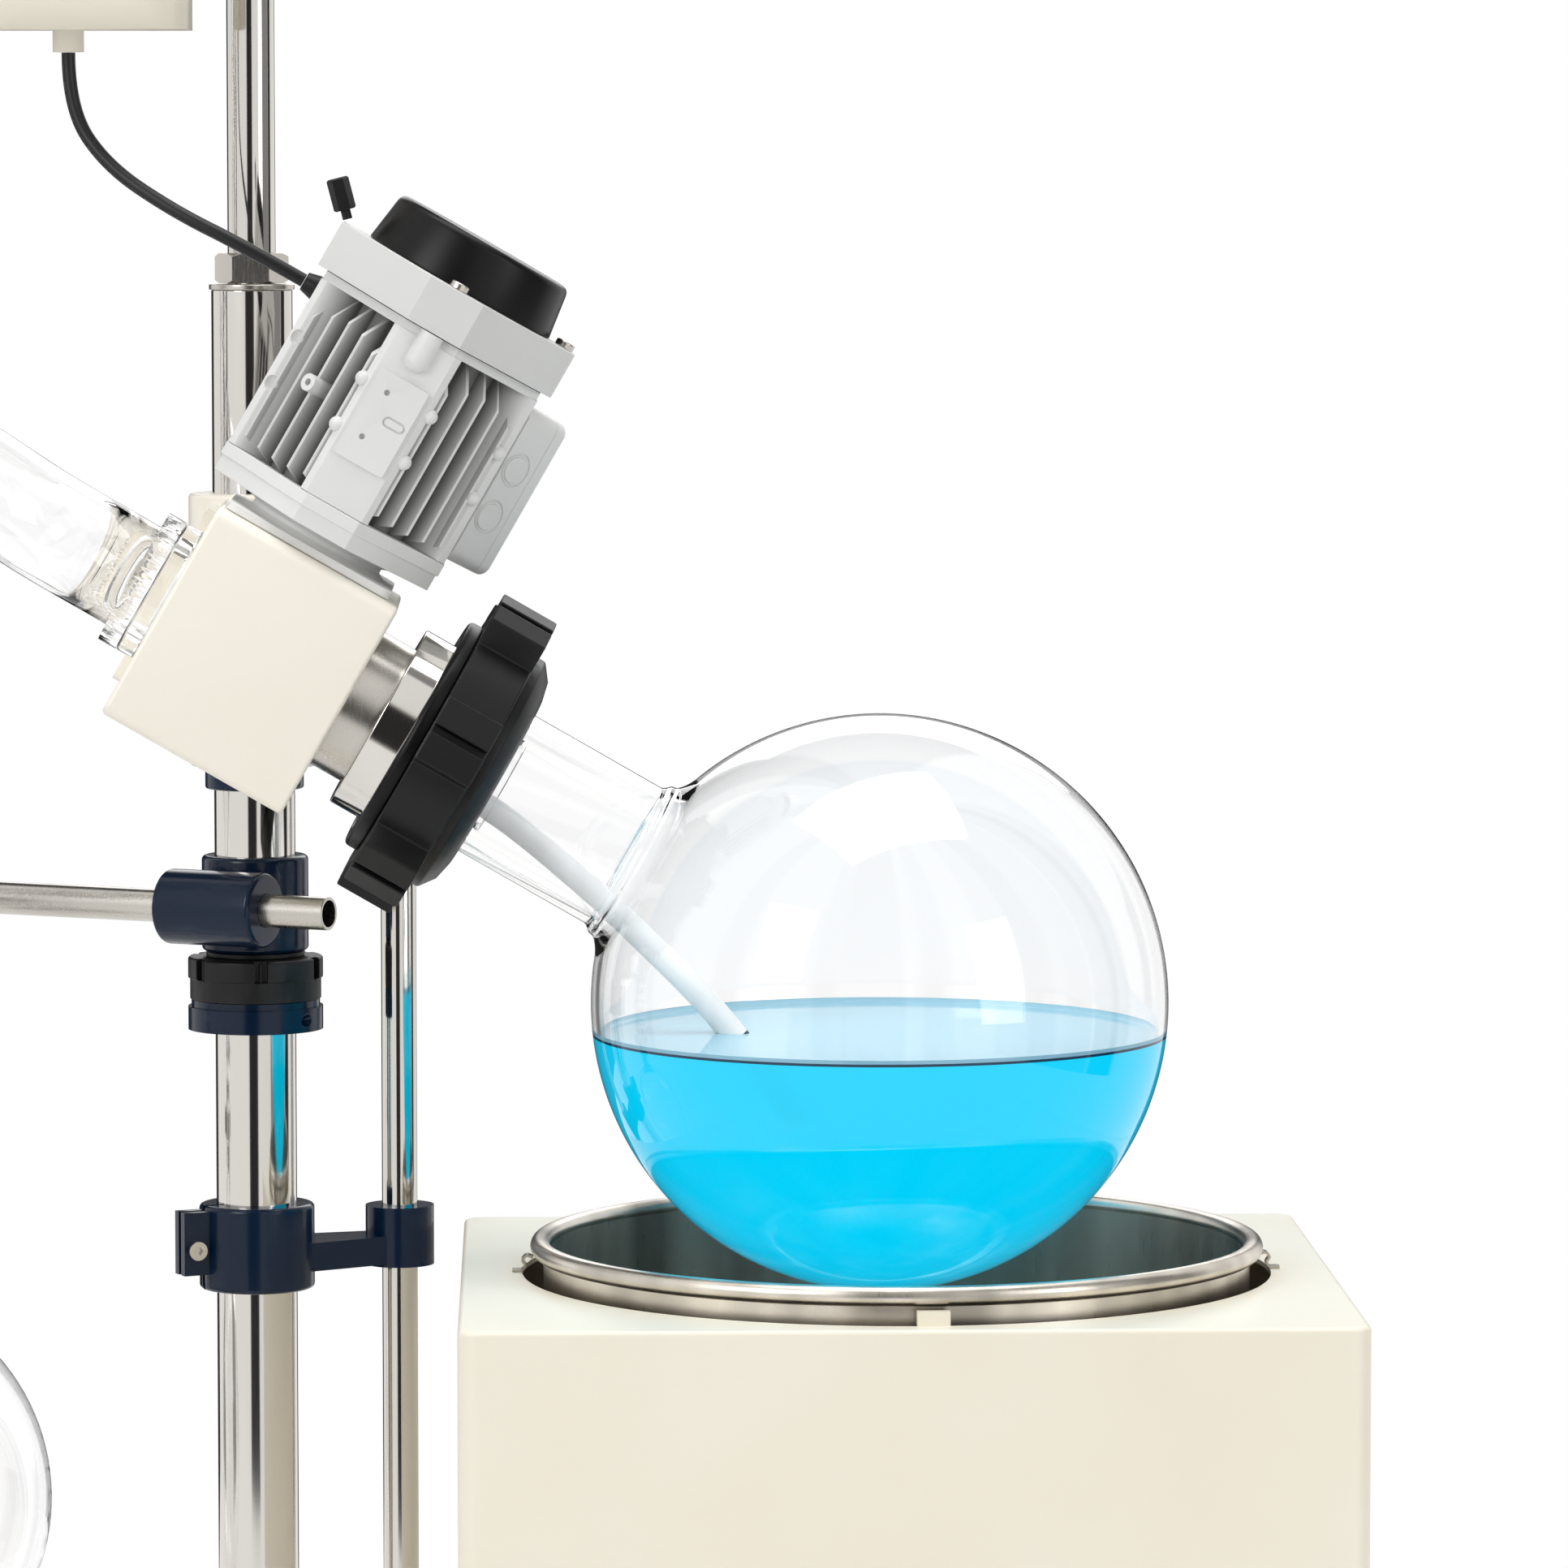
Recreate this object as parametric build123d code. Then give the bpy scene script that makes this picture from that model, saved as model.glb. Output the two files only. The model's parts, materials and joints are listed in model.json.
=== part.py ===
from build123d import *
from math import atan2, cos, degrees, pi, radians, sin, sqrt, tan
import os

os.makedirs("parts", exist_ok=True)

# Twenty-litre rotary evaporator. Millimetres, +Z up, origin on the floor under the middle of the base.
# The flask hangs from the inclined head, over a heating bath that rises on a telescopic column.

# Whole machine
head_tilt = 30.0
base_length = 1100.0
base_depth = 560.0
base_height = 76.0
foot_height = 64.0
bath_top = 800.0

# Places of the main axes on the base
flask_x = 261.5
flask_z = 965.6
pot_x = 272.0
column_x = -125.8
column_y = 150.0
rod_x = -36.3
rod_y = 190.0
condenser_x = -390.0
condenser_y = 120.0
control_x = -235.0
control_y = 78.0

# Clearances and overruns
full_turn = 360.0
seat_gap = 0.3
running_gap = 0.05
overrun = 5.0

# Evaporating flask
flask_radius = 177.0
glass_wall = 5.0
neck_radius = 47.5
neck_flange_radius = 56.0
neck_flange_length = 12.0
neck_weld_radius = 14.0
neck_end = 296.0
liquid_drop = 19.0

# Coupling nut, measured back from the flask's centre along its axis
nut_front = 271.5
nut_lip_radius = 79.0
nut_body_radius = 87.0
nut_lug_radius = 105.0
nut_lug_front = 287.4
nut_lug_back = 324.3
nut_lug_count = 6
nut_lug_spread = 14.5
nut_lug_top_spread = 11.8
nut_lug_start = 20.0
nut_groove_depth = 9.0
nut_groove_width = 5.0
nut_bore_gap = 1.0
back_ring_radius = 78.0
back_ring_end = 333.7
polish_radius = 60.0
polish_flange_radius = 67.0
polish_flange_length = 8.0
polish_end = 353.7
sleeve_radius = 46.0

# Gearbox housing, along the same axis
head_right = 376.0
head_left = 500.0
head_low = 76.7
head_high = 66.7
head_half_width = 70.0
head_round = 7.0
housing_wall = 8.0
shaft_bore_radius = 36.0
bearing_radius = 60.0
bearing_width = 16.0
seal_radius = 45.0
seal_width = 8.0
gear_teeth = 36
pinion_teeth = 12
tooth_share = 0.34
bracket_depth = 26.0
bracket_proud = 6.5
bracket_drop = 10.0
collar_wall = 15.0

# Motor, its axis square to the flask's, distances measured from the flask's axis
motor_along = 440.3
adapter_side = 112.0
adapter_plate = 5.3
adapter_neck_radius = 44.0
shield_low = 82.0
shield_side = 132.5
shield_height = 19.0
shield_chamfer = 25.5
shield_step = 2.0
stator_low = 101.0
stator_high = 220.4
stator_collar = 5.8
stator_radius = 52.0
fin_reach = 67.0
fin_thickness = 3.2
fin_tip_thickness = 2.2
fin_pitch = 15.0
fin_count = 5
fin_top_taper = 26.0
fin_bottom_taper = 9.0
pad_reach = 75.0
pad_width = 46.0
pad_edge = 4.0
bracket_plate_left = -16.7
bracket_plate_right = 16.3
bracket_plate_low = 130.0
bracket_plate_high = 188.0
bracket_plate_proud = 3.0
bracket_hole_along = -6.3
bracket_hole_radius = 1.8
bracket_hole_low = 146.1
bracket_hole_high = 176.2
bracket_groove_along = 1.3
bracket_groove_length = 11.2
bracket_groove_width = 6.7
bracket_groove_depth = 1.2
dome_radius = 4.8
dome_low = 144.7
dome_high = 176.3
lug_boss_radius = 7.7
lug_boss_low = 202.0
hook_boss_high = 157.2
hook_boss_radius = 5.5
hook_hole_radius = 2.3
fan_low = 220.7
fan_high = 250.6
fan_side = 140.0
fan_chamfer = 25.5
fan_wall = 3.0
fan_blade_count = 7
fan_radius = 60.0
fan_blade_height = 16.0
fan_blade_thickness = 2.5
motor_shaft_radius = 9.0
motor_cap_radius = 62.5
motor_cap_height = 32.4
motor_cap_top_radius = 58.0
motor_cap_round = 5.0
terminal_low = 102.6
terminal_high = 208.7
terminal_turn = 45.0
terminal_near = 62.0
terminal_reach = 99.0
terminal_depth = 92.0
terminal_round = 8.0
terminal_lid_thick = 9.5
terminal_wall = 4.0
terminal_seat_width = 74.0
knockout_radius = 8.6
knockout_rim_radius = 11.4
knockout_proud = 1.6
knockout_high = 170.6
knockout_low = 137.6
knockout_along = 74.0
gland_radius = 8.0
gland_length = 16.0
thumb_radius = 6.0
thumb_length = 20.0
thumb_stud_radius = 3.0
thumb_stud_length = 6.0
thumb_along = 77.0
thumb_lean = 44.4
screw_radius = 3.5
screw_head_radius = 6.0
screw_head_height = 4.0

# Vapour duct and feed tube inside the flask
duct_radius = 30.0
duct_wall = 2.5
duct_lip_radius = 31.5
duct_end = 266.5
feed_radius = 8.0
feed_bore_radius = 5.0

# Columns and fittings
column_radius = 25.4
column_top = 1399.0
cap_radius = 26.8
cap_height = 4.0
hex_across = 40.0
hex_height = 19.0
upper_radius = 15.0
upper_top = 1900.0
rod_radius = 11.25
rod_top = 1100.0
foot_flange_radius = 55.0
foot_flange_height = 14.0
rod_flange_radius = 34.0
brace_low = 769.0
brace_high = 823.0
brace_radius = 36.35
brace_arm_low = 780.0
brace_arm_high = 798.0
brace_small_low = 778.0
brace_small_high = 816.0
brace_small_radius = 21.8
brace_slot = 4.0
stop_ring_low = 934.0
stop_ring_high = 953.0
stop_ring_radius = 42.5
stop_step_height = 4.4
stop_step = 2.0
lock_nut_high = 980.0
lock_nut_radius = 42.5
lock_notch_count = 6
lock_notch_width = 8.4
lock_notch_depth = 4.5
lock_notch_start = -83.2
lock_step = 1.2
thrust_high = 983.3
thrust_radius = 31.0
boss_low = 983.6
boss_high = 1044.0
boss_sleeve_radius = 33.5
barrel_radius = 23.5
barrel_length = 70.0
barrel_offset = 47.0
barrel_z = 1014.0
cross_radius = 10.35
cross_wall = 2.0
cross_angle = 28.0
cross_front = 80.0
cross_back = 262.0
bush_low = 1086.0
bush_high = 1100.0
bush_radius = 31.0

# Bath and its lift
cabinet_length = 535.0
cabinet_depth = 492.0
cabinet_height = 330.0
cabinet_round = 12.0
cabinet_wall = 3.0
rod_to_cabinet = 29.55
pot_bore_radius = 213.0
pot_outer_radius = 217.0
pot_bead_radius = 6.0
pot_bead_z = 816.0
pot_depth = 240.0
pot_corner = 40.0
pot_hole_gap = 13.0
heater_outer = 200.0
heater_inner = 60.0
heater_height = 14.0
clip_width = 22.0
clip_thickness = 3.0
lift_side = 170.0
lift_wall = 5.0
lift_glide = 0.5
lift_outer_top = 452.0
lift_plate_side = 300.0
lift_plate_height = 12.0

# Condenser, receiver and their holders
jacket_radius = 65.0
jacket_low = 1080.0
jacket_high = 1740.0
jacket_neck_radius = 26.0
jacket_neck_low = 950.0
jacket_top_radius = 24.0
jacket_top = 1800.0
inlet_z = 1345.0
manifold_radius = 34.0
manifold_flange_radius = 44.0
manifold_flange_length = 12.0
coil_radius = 40.0
coil_tube_radius = 7.0
coil_low = 1150.0
coil_pitch = 75.0
coil_turns = 6
valve_radius = 24.0
valve_key_radius = 9.0
valve_key_length = 46.0
receiver_radius = 135.0
receiver_z = 640.0
receiver_neck_radius = 28.0
receiver_neck_top = 850.0
clamp_height = 22.0
clamp_wall = 5.0
clamp_arm_radius = 8.0
clamp_high_z = 1690.0
clamp_low_z = 1014.0

# Control box and bath controls
control_width = 150.0
control_depth = 78.0
control_height = 190.0
control_low = 1560.0
control_round = 10.0
knob_radius = 17.0
knob_height = 16.0
switch_width = 22.0
switch_height = 30.0
switch_proud = 5.0
bath_knob_z = 560.0

# Feet and lift details
foot_pad_radius = 26.0
foot_stud_radius = 8.0
foot_disc_radius = 34.0
foot_disc_height = 14.0
foot_inset = 60.0
lift_corner = 14.0
clip_turns = (0.0, 180.0, -90.0)

# Columns and brace details
tube_wall = 3.0
brace_edge = 3.0
brace_ear = 16.0
ring_screw_turn = -52.0
ring_screw_z = (stop_ring_low + stop_ring_high - stop_step_height) / 2
collar_high = 1272.0

# Head and bevel gear details
head_edge = 3.0
pinion_hole_radius = 24.0
gear_pitch_radius = 54.0
gear_face = 6.5
gear_back = 10.0
tooth_tip = 1.6
tooth_root = 2.1
tooth_flank_share = 0.55
gear_ratio = gear_teeth / pinion_teeth
pinion_pitch_radius = gear_pitch_radius / gear_ratio
cone_length = sqrt(gear_pitch_radius**2 + pinion_pitch_radius**2)
inner_share = 1 - gear_face / cone_length

# Motor details
shield_split_share = 0.55
groove_core_share = 0.62
cover_edge = 1.0
fan_screw_share = 1.04
gland_spot = (-68.0, 45.0, 206.0)

# Routes of the motor cable and the feed tube
cord_radius = 4.25
cord_points = [
    (-90.1, 45.0, 1406.5),
    (-125.0, 45.0, 1426.6),
    (-170.0, 52.0, 1449.0),
    (-212.0, 68.0, 1477.0),
    (-235.0, 78.0, 1512.0),
    (-235.0, 78.0, 1546.0),
]
liquid_gap = 0.5
feed_points = [
    (-321.3, 163.3),
    (-235.7, 118.8),
    (-207.4, 96.5),
    (-165.8, 60.2),
    (-98.5, -6.0),
    (-48.7, -75.1),
]
feed_bend = 120.0

# Glassware details
flange_lip = 9.0
manifold_run = 75.0
manifold_bend = 70.0
manifold_wall = 3.5
manifold_start = -head_left - manifold_flange_length - 2 * seat_gap
coil_sides = 10
valve_middle = (receiver_neck_top + jacket_neck_low) / 2

# Control box details
control_gland = 13.7
switch_gap = 1.0
switch_z = control_low + control_height * 0.28
knob_z = control_low + control_height * 0.7

# Directions of the two inclined axes
tilt_cos = cos(radians(head_tilt))
tilt_sin = sin(radians(head_tilt))
flask_axis = Plane(
    origin=(flask_x, 0, flask_z),
    x_dir=(tilt_sin, 0, tilt_cos),
    z_dir=(tilt_cos, 0, -tilt_sin),
)
motor_axis = Plane(
    origin=(flask_x - motor_along * tilt_cos, 0, flask_z + motor_along * tilt_sin),
    x_dir=(tilt_cos, 0, -tilt_sin),
    z_dir=(tilt_sin, 0, tilt_cos),
)
base_top = foot_height + base_height
cabinet_x = rod_x + rod_radius + rod_to_cabinet + cabinet_length / 2
at_column = Pos(column_x, column_y, 0)
at_rod = Pos(rod_x, rod_y, 0)
at_condenser = Pos(condenser_x, condenser_y, 0)


def spun(points):
    """Solid turned about Z from (radius, height) points."""
    return revolve(Plane.XZ * make_face(Polyline(*points, close=True)), Axis.Z)


def ring(outer, inner, low, high):
    return spun([(inner, low), (outer, low), (outer, high), (inner, high)])


def rod(radius, low, high):
    return Pos(0, 0, low) * Cylinder(radius, high - low, align=(Align.CENTER, Align.CENTER, Align.MIN))


def block(length, depth, low, high):
    return Pos(0, 0, low) * Box(length, depth, high - low, align=(Align.CENTER, Align.CENTER, Align.MIN))


def rounded_block(length, depth, low, high, corner):
    return Pos(0, 0, low) * extrude(RectangleRounded(length, depth, corner), high - low)


def rounded_ring(outer, inner, low, high, edge):
    """Ring whose two outer edges are rounded."""
    body = ring(outer, inner, low, high)
    outside = body.edges().filter_by(GeomType.CIRCLE).sort_by(SortBy.RADIUS)[-2:]
    return fillet(outside, edge)


def turned_square(side, leg, low, high):
    """Square plate with chamfered corners, turned by an eighth of a turn."""
    outline = Rectangle(side, side)
    outline = chamfer(outline.vertices(), leg)
    return Pos(0, 0, low) * Rot(0, 0, 45) * extrude(outline, high - low)


def save(name, shape):
    export_step(shape, f"parts/{name}.step")


def base_frame():
    wall = cabinet_wall
    corner = foot_flange_radius / 2
    deck = rounded_block(base_length, base_depth, foot_height, base_top, corner)
    deck = fillet(deck.edges().group_by(Axis.Z)[-1], head_round)
    inside = rounded_block(
        base_length - 2 * wall, base_depth - 2 * wall, foot_height - overrun, base_top - wall, corner - wall
    )
    shell = deck - inside
    for x, y in foot_places():
        shell += Pos(x, y, 0) * rod(foot_pad_radius, foot_height, base_top - wall)
        shell -= Pos(x, y, 0) * rod(foot_stud_radius + seat_gap, foot_height - overrun, base_top - 2 * wall)
    return shell


def foot_places():
    x = base_length / 2 - foot_inset
    y = base_depth / 2 - foot_inset
    return [(x, y), (x, -y), (-x, y), (-x, -y)]


def levelling_foot():
    """Rubber-shod disc, stud into the base's boss, and its lock nut as one turned piece."""
    nut_radius = foot_stud_radius * 2
    nut_low = foot_height - seat_gap - foot_stud_radius
    return spun([
        (0, 0),
        (foot_disc_radius - seat_gap, 0),
        (foot_disc_radius, seat_gap),
        (foot_disc_radius, foot_disc_height / 2),
        (foot_stud_radius * 1.5, foot_disc_height),
        (foot_stud_radius, foot_disc_height),
        (foot_stud_radius, nut_low),
        (nut_radius, nut_low),
        (nut_radius, foot_height - seat_gap),
        (foot_stud_radius, foot_height - seat_gap),
        (foot_stud_radius, base_top - 3 * cabinet_wall),
        (0, base_top - 3 * cabinet_wall),
    ])


def levelling_feet():
    foot = levelling_foot()
    return Compound([Pos(x, y, 0) * foot for x, y in foot_places()])


def foot_flange(radius, height, bore):
    """Turned flange with a short raised socket round the tube."""
    socket = bore + column_radius / 3
    low = base_top + seat_gap
    return spun([
        (bore + seat_gap, low),
        (radius, low),
        (radius, low + height / 2),
        (socket, low + height),
        (socket, low + 2 * height),
        (bore + seat_gap, low + 2 * height),
    ])


def foot_flanges():
    big = at_column * foot_flange(foot_flange_radius, foot_flange_height, column_radius)
    small = at_rod * foot_flange(rod_flange_radius, foot_flange_height, rod_radius)
    return Compound([big, small])


def column():
    return at_column * ring(column_radius, column_radius - tube_wall, base_top + seat_gap, column_top)


def column_cap():
    """Disc on the column with a threaded boss inside, bored for the upper tube's foot."""
    low = column_top + seat_gap
    bore = upper_radius + seat_gap
    skirt = column_radius - tube_wall - seat_gap
    return at_column * spun([
        (bore, low - cap_height * 3),
        (skirt, low - cap_height * 3),
        (skirt, low),
        (cap_radius, low),
        (cap_radius, low + cap_height - seat_gap),
        (bore, low + cap_height - seat_gap),
    ])


def column_nut():
    low = column_top + cap_height + seat_gap
    outline = RegularPolygon(hex_across / 2, 6, major_radius=False)
    body = Pos(0, 0, low) * extrude(outline, hex_height - seat_gap)
    bore = rod(upper_radius + seat_gap, low - overrun, low + hex_height + overrun)
    bevel = spun([
        (0, low - seat_gap),
        (hex_across / 2, low - seat_gap),
        (hex_across / 2 + hex_height / 4, low + hex_height / 6),
        (hex_across / 2 + hex_height / 4, low + hex_height * 0.8),
        (hex_across / 2, low + hex_height),
        (0, low + hex_height),
    ])
    return at_column * ((body & bevel) - bore)


def upper_tube():
    low = column_top - cap_height * 3
    closed = ring(upper_radius, upper_radius - tube_wall / 2, low, upper_top - tube_wall)
    return at_column * (closed + rod(upper_radius, upper_top - tube_wall, upper_top))


def guide_rod():
    body = rod(rod_radius, base_top + seat_gap, rod_top)
    return at_rod * chamfer(body.edges().group_by(Axis.Z)[-1], rod_radius / 6)


def brace():
    """Casting with a big collar, a tapered arm and a small collar, both collars slit for clamping."""
    run = sqrt((rod_x - column_x) ** 2 + (rod_y - column_y) ** 2)
    turn = degrees(atan2(rod_y - column_y, rod_x - column_x))
    big = rod(brace_radius, brace_low, brace_high)
    big = fillet(big.edges().filter_by(GeomType.CIRCLE), brace_edge)
    small = Pos(run, 0, 0) * rod(brace_small_radius, brace_small_low, brace_small_high)
    half_wide = brace_radius * 0.75
    half_slim = brace_small_radius * 0.6
    arm = Polyline((0, -half_wide), (run, -half_slim), (run, half_slim), (0, half_wide), close=True)
    arm = Pos(0, 0, brace_arm_low) * extrude(make_face(arm), brace_arm_high - brace_arm_low)
    ear_reach = brace_radius + brace_ear
    ear = Pos(-ear_reach / 2, 0, 0) * block(ear_reach, brace_ear, brace_arm_low, brace_high - brace_edge)
    body = big + small + arm + ear
    body -= rod(column_radius + seat_gap, brace_low - overrun, brace_high + overrun)
    body -= Pos(run, 0, 0) * rod(rod_radius + seat_gap, brace_small_low - overrun, brace_small_high + overrun)
    slit = Pos(-ear_reach / 2 - column_radius / 2, 0, 0) * block(
        ear_reach, brace_slot, brace_low - overrun, brace_high + overrun
    )
    body -= slit
    bolt = Pos(-ear_reach + brace_ear / 2, 0, (brace_low + brace_high) / 2) * Rot(90, 0, 0)
    body -= bolt * Cylinder(screw_radius + seat_gap, brace_ear * 2)
    return at_column * Rot(0, 0, turn) * body


def brace_screw():
    run_turn = degrees(atan2(rod_y - column_y, rod_x - column_x))
    reach = brace_radius + brace_ear / 2
    place = Pos(-reach, 0, (brace_low + brace_high) / 2) * Rot(90, 0, 0)
    screw = socket_screw(brace_ear + 2 * (screw_head_height + seat_gap))
    return at_column * Rot(0, 0, run_turn) * place * screw


def socket_screw(length):
    """Cap screw, its head above the middle of its length and its hexagon open at the top."""
    shank = rod(screw_radius, -length / 2, length / 2)
    head = rod(screw_head_radius, length / 2 - screw_head_height, length / 2)
    socket = Pos(0, 0, length / 2 - screw_head_height * 0.6) * extrude(
        RegularPolygon(screw_radius * 0.8, 6), screw_head_height
    )
    return shank + head - socket


def stop_ring():
    """Clamping ring with a thin step on top and a tapped hole for its grub screw."""
    bore = column_radius + seat_gap
    step_radius = stop_ring_radius - stop_step
    body = spun([
        (bore, stop_ring_low),
        (stop_ring_radius, stop_ring_low),
        (stop_ring_radius, stop_ring_high - stop_step_height),
        (step_radius, stop_ring_high - stop_step_height),
        (step_radius, stop_ring_high),
        (bore, stop_ring_high),
    ])
    hole = Cylinder(screw_radius + seat_gap, stop_ring_radius)
    hole = Pos(0, 0, ring_screw_z) * Rot(0, 90, ring_screw_turn) * hole
    middle = (column_radius + stop_ring_radius) / 2
    away = Pos(middle * cos(radians(ring_screw_turn)), middle * sin(radians(ring_screw_turn)), 0)
    return at_column * (body - away * hole)


def grub_screw():
    length = stop_ring_radius - column_radius - 2 * seat_gap
    middle = (column_radius + stop_ring_radius) / 2
    place = Pos(middle * cos(radians(ring_screw_turn)), middle * sin(radians(ring_screw_turn)), ring_screw_z)
    body = Cylinder(screw_radius, length) - Pos(0, 0, length / 2) * extrude(
        RegularPolygon(screw_radius / 2, 6), length / 4, both=True
    )
    return at_column * place * Rot(0, 90, ring_screw_turn) * body


def lock_nut():
    """Hand nut: a plain lower band and an upper band with grip notches, each with a rib down its middle."""
    low = stop_ring_high + seat_gap
    bore = column_radius + seat_gap
    middle = (low + lock_nut_high) / 2
    body = ring(lock_nut_radius - lock_step, bore, low, middle)
    upper = rod(lock_nut_radius, middle, lock_nut_high)
    upper = chamfer(upper.edges().group_by(Axis.Z)[-1], lock_step)
    rib_width = lock_notch_width / 5
    for index in range(lock_notch_count):
        turn = Rot(0, 0, lock_notch_start + index * full_turn / lock_notch_count)
        floor = lock_nut_radius - lock_notch_depth
        notch = block(2 * overrun, lock_notch_width, middle, lock_nut_high + overrun)
        notch = Pos(floor + overrun, 0, 0) * notch
        rib = Pos(floor, 0, 0) * block(lock_notch_depth, rib_width, middle, lock_nut_high - lock_step)
        upper = upper - turn * notch + turn * rib
    upper -= rod(bore, middle - overrun, lock_nut_high + overrun)
    return at_column * (body + upper)


def thrust_ring():
    return at_column * ring(thrust_radius, column_radius + seat_gap, lock_nut_high + seat_gap, thrust_high)


def barrel_place():
    """Frame whose Z runs along the cross tube towards its open front end."""
    turn = -cross_angle
    away = radians(turn - 90)
    x = column_x + barrel_offset * cos(away)
    y = column_y + barrel_offset * sin(away)
    return Pos(x, y, barrel_z) * Rot(0, 0, turn) * Rot(0, 90, 0)


def swivel_boss():
    """Sleeve on the column with a lying barrel grown onto its side, bored for the cross tube."""
    bore = column_radius + seat_gap
    sleeve = at_column * rounded_ring(boss_sleeve_radius, bore, boss_low, boss_high, brace_edge)
    barrel = barrel_place() * rod(barrel_radius, -barrel_length / 2, barrel_length / 2)
    barrel = fillet(barrel.edges().filter_by(GeomType.CIRCLE), brace_edge)
    turn = -cross_angle
    web = Rot(0, 0, turn) * Pos(0, -barrel_offset / 2, 0) * block(
        barrel_radius * 2, barrel_offset, barrel_z - barrel_radius / 2, barrel_z + barrel_radius / 2
    )
    body = sleeve + barrel + at_column * web
    body -= at_column * rod(bore, boss_low - overrun, boss_high + overrun)
    reach = barrel_length / 2 + overrun
    return body - barrel_place() * rod(cross_radius + seat_gap, -reach, reach)


def cross_tube():
    return barrel_place() * ring(cross_radius, cross_radius - cross_wall, -cross_back, cross_front)


def head_bush():
    bore = column_radius + seat_gap
    return at_column * rounded_ring(bush_radius, bore, bush_low, bush_high, screw_radius / 2)


def gearbox_housing():
    """Rounded cast box, bored along the flask's axis and open at the top for the drive pinion."""
    length = head_left - head_right
    tall = head_low + head_high
    middle = (head_high - head_low) / 2
    outline = Pos(middle, 0) * RectangleRounded(tall, 2 * head_half_width, head_round)
    body = Pos(0, 0, -head_left) * extrude(outline, length)
    curved = body.edges().filter_by(GeomType.LINE, reverse=True)
    body = fillet(curved + body.edges().group_by(Axis.Z)[-1], head_edge)
    cavity_low = -head_left + housing_wall
    cavity_high = -head_right - housing_wall
    body -= rod(bearing_radius, cavity_low, cavity_high)
    body -= rod(sleeve_radius + seat_gap, cavity_high - overrun, -head_right + overrun)
    body -= rod(duct_radius + seat_gap, -head_left - overrun, cavity_low + overrun)
    body = flask_axis.location * body
    body -= motor_axis.location * rod(pinion_hole_radius, bearing_radius / 2, head_high + overrun)
    return body


def rear_bracket():
    """Inclined plate behind the head, with an upright collar that clamps round the column."""
    tall = head_low + head_high - 2 * bracket_drop
    length = head_left - head_right - bracket_drop + bracket_proud
    middle = (head_high - head_low) / 2
    near = head_half_width + seat_gap
    outline = Pos(middle, 0) * RectangleRounded(tall, bracket_depth, head_edge)
    plate = Pos(0, -near - bracket_depth / 2, -head_left - bracket_proud) * extrude(outline, length)
    plate = flask_axis.location * plate
    outer = column_radius + collar_wall
    collar_low = bush_high + seat_gap
    collar = at_column * rounded_ring(outer, column_radius + seat_gap, collar_low, collar_high, head_edge)
    web_depth = column_y - near - bracket_depth / 2
    web = Pos(column_x, column_y - web_depth / 2, 0) * block(
        outer * 1.4, web_depth, bush_high + 2 * bracket_drop, collar_high - bracket_drop
    )
    body = plate + collar + web
    body -= at_column * rod(column_radius + seat_gap, bush_high - overrun, collar_high + overrun)
    return body


def hollow_shaft():
    """Drive shaft that carries the flask: bearing journals, gear seat and the brushed front sleeve."""
    left = -head_left + housing_wall + seal_width + seat_gap
    front = -neck_end - seat_gap
    return flask_axis.location * ring(sleeve_radius, shaft_bore_radius, left, front)


def shaft_bearings():
    """Two bearing rings that seat in the housing's bore and run on the shaft."""
    low = -head_left + housing_wall + seat_gap
    high = -head_right - housing_wall - seat_gap
    outer = bearing_radius - running_gap
    inner = sleeve_radius + running_gap
    left = ring(outer, inner, low, low + bearing_width)
    right = ring(outer, inner, high - bearing_width, high)
    return flask_axis.location * Compound([left, right])


def vapour_seal():
    """Lip ring between the still duct and the housing's left wall, just clear of the turning shaft."""
    low = -head_left + housing_wall + seat_gap / 2
    high = low + seal_width - seat_gap
    return flask_axis.location * ring(seal_radius, duct_radius + running_gap, low, high)


def bevel_teeth(pitch_radius, apex_height, count, first_turn):
    """Straight bevel teeth: each is a loft between a trapezoid at the heel and its smaller copy at the toe.

    The apex lies at the origin and Z is the gear's axis.
    The pitch circle of the heel lies apex_height above the apex.
    """
    cone_sin = pitch_radius / cone_length
    cone_cos = apex_height / cone_length
    half = pi * pitch_radius / count * tooth_share
    half_tip = half * tooth_flank_share
    half_root = half * (2 - tooth_flank_share)

    def section(share):
        corners = []
        flank = ((-tooth_root, half_root), (tooth_tip, half_tip))
        left = [(rise, -width) for rise, width in flank]
        for rise, width in left + list(reversed(flank)):
            radius = (pitch_radius + rise * cone_cos) * share
            height = (apex_height - rise * cone_sin) * share
            corners.append((radius, width * share, height))
        return make_face(Polyline(*corners, close=True))

    tooth = loft([section(1), section(inner_share)], ruled=True)
    return [Rot(0, 0, first_turn + index * full_turn / count) * tooth for index in range(count)]


def bevel_blank(pitch_radius, apex_height, back, bore):
    """Root cone under the teeth, closed by a flat back away from the apex."""
    cone_sin = pitch_radius / cone_length
    cone_cos = apex_height / cone_length
    depth = tooth_root - seat_gap
    heel = (pitch_radius - depth * cone_cos, apex_height + depth * cone_sin)
    toe = (heel[0] * inner_share, heel[1] * inner_share)
    return spun([
        (bore, toe[1]),
        toe,
        heel,
        (heel[0], heel[1] + back),
        (bore, heel[1] + back),
    ])


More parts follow.
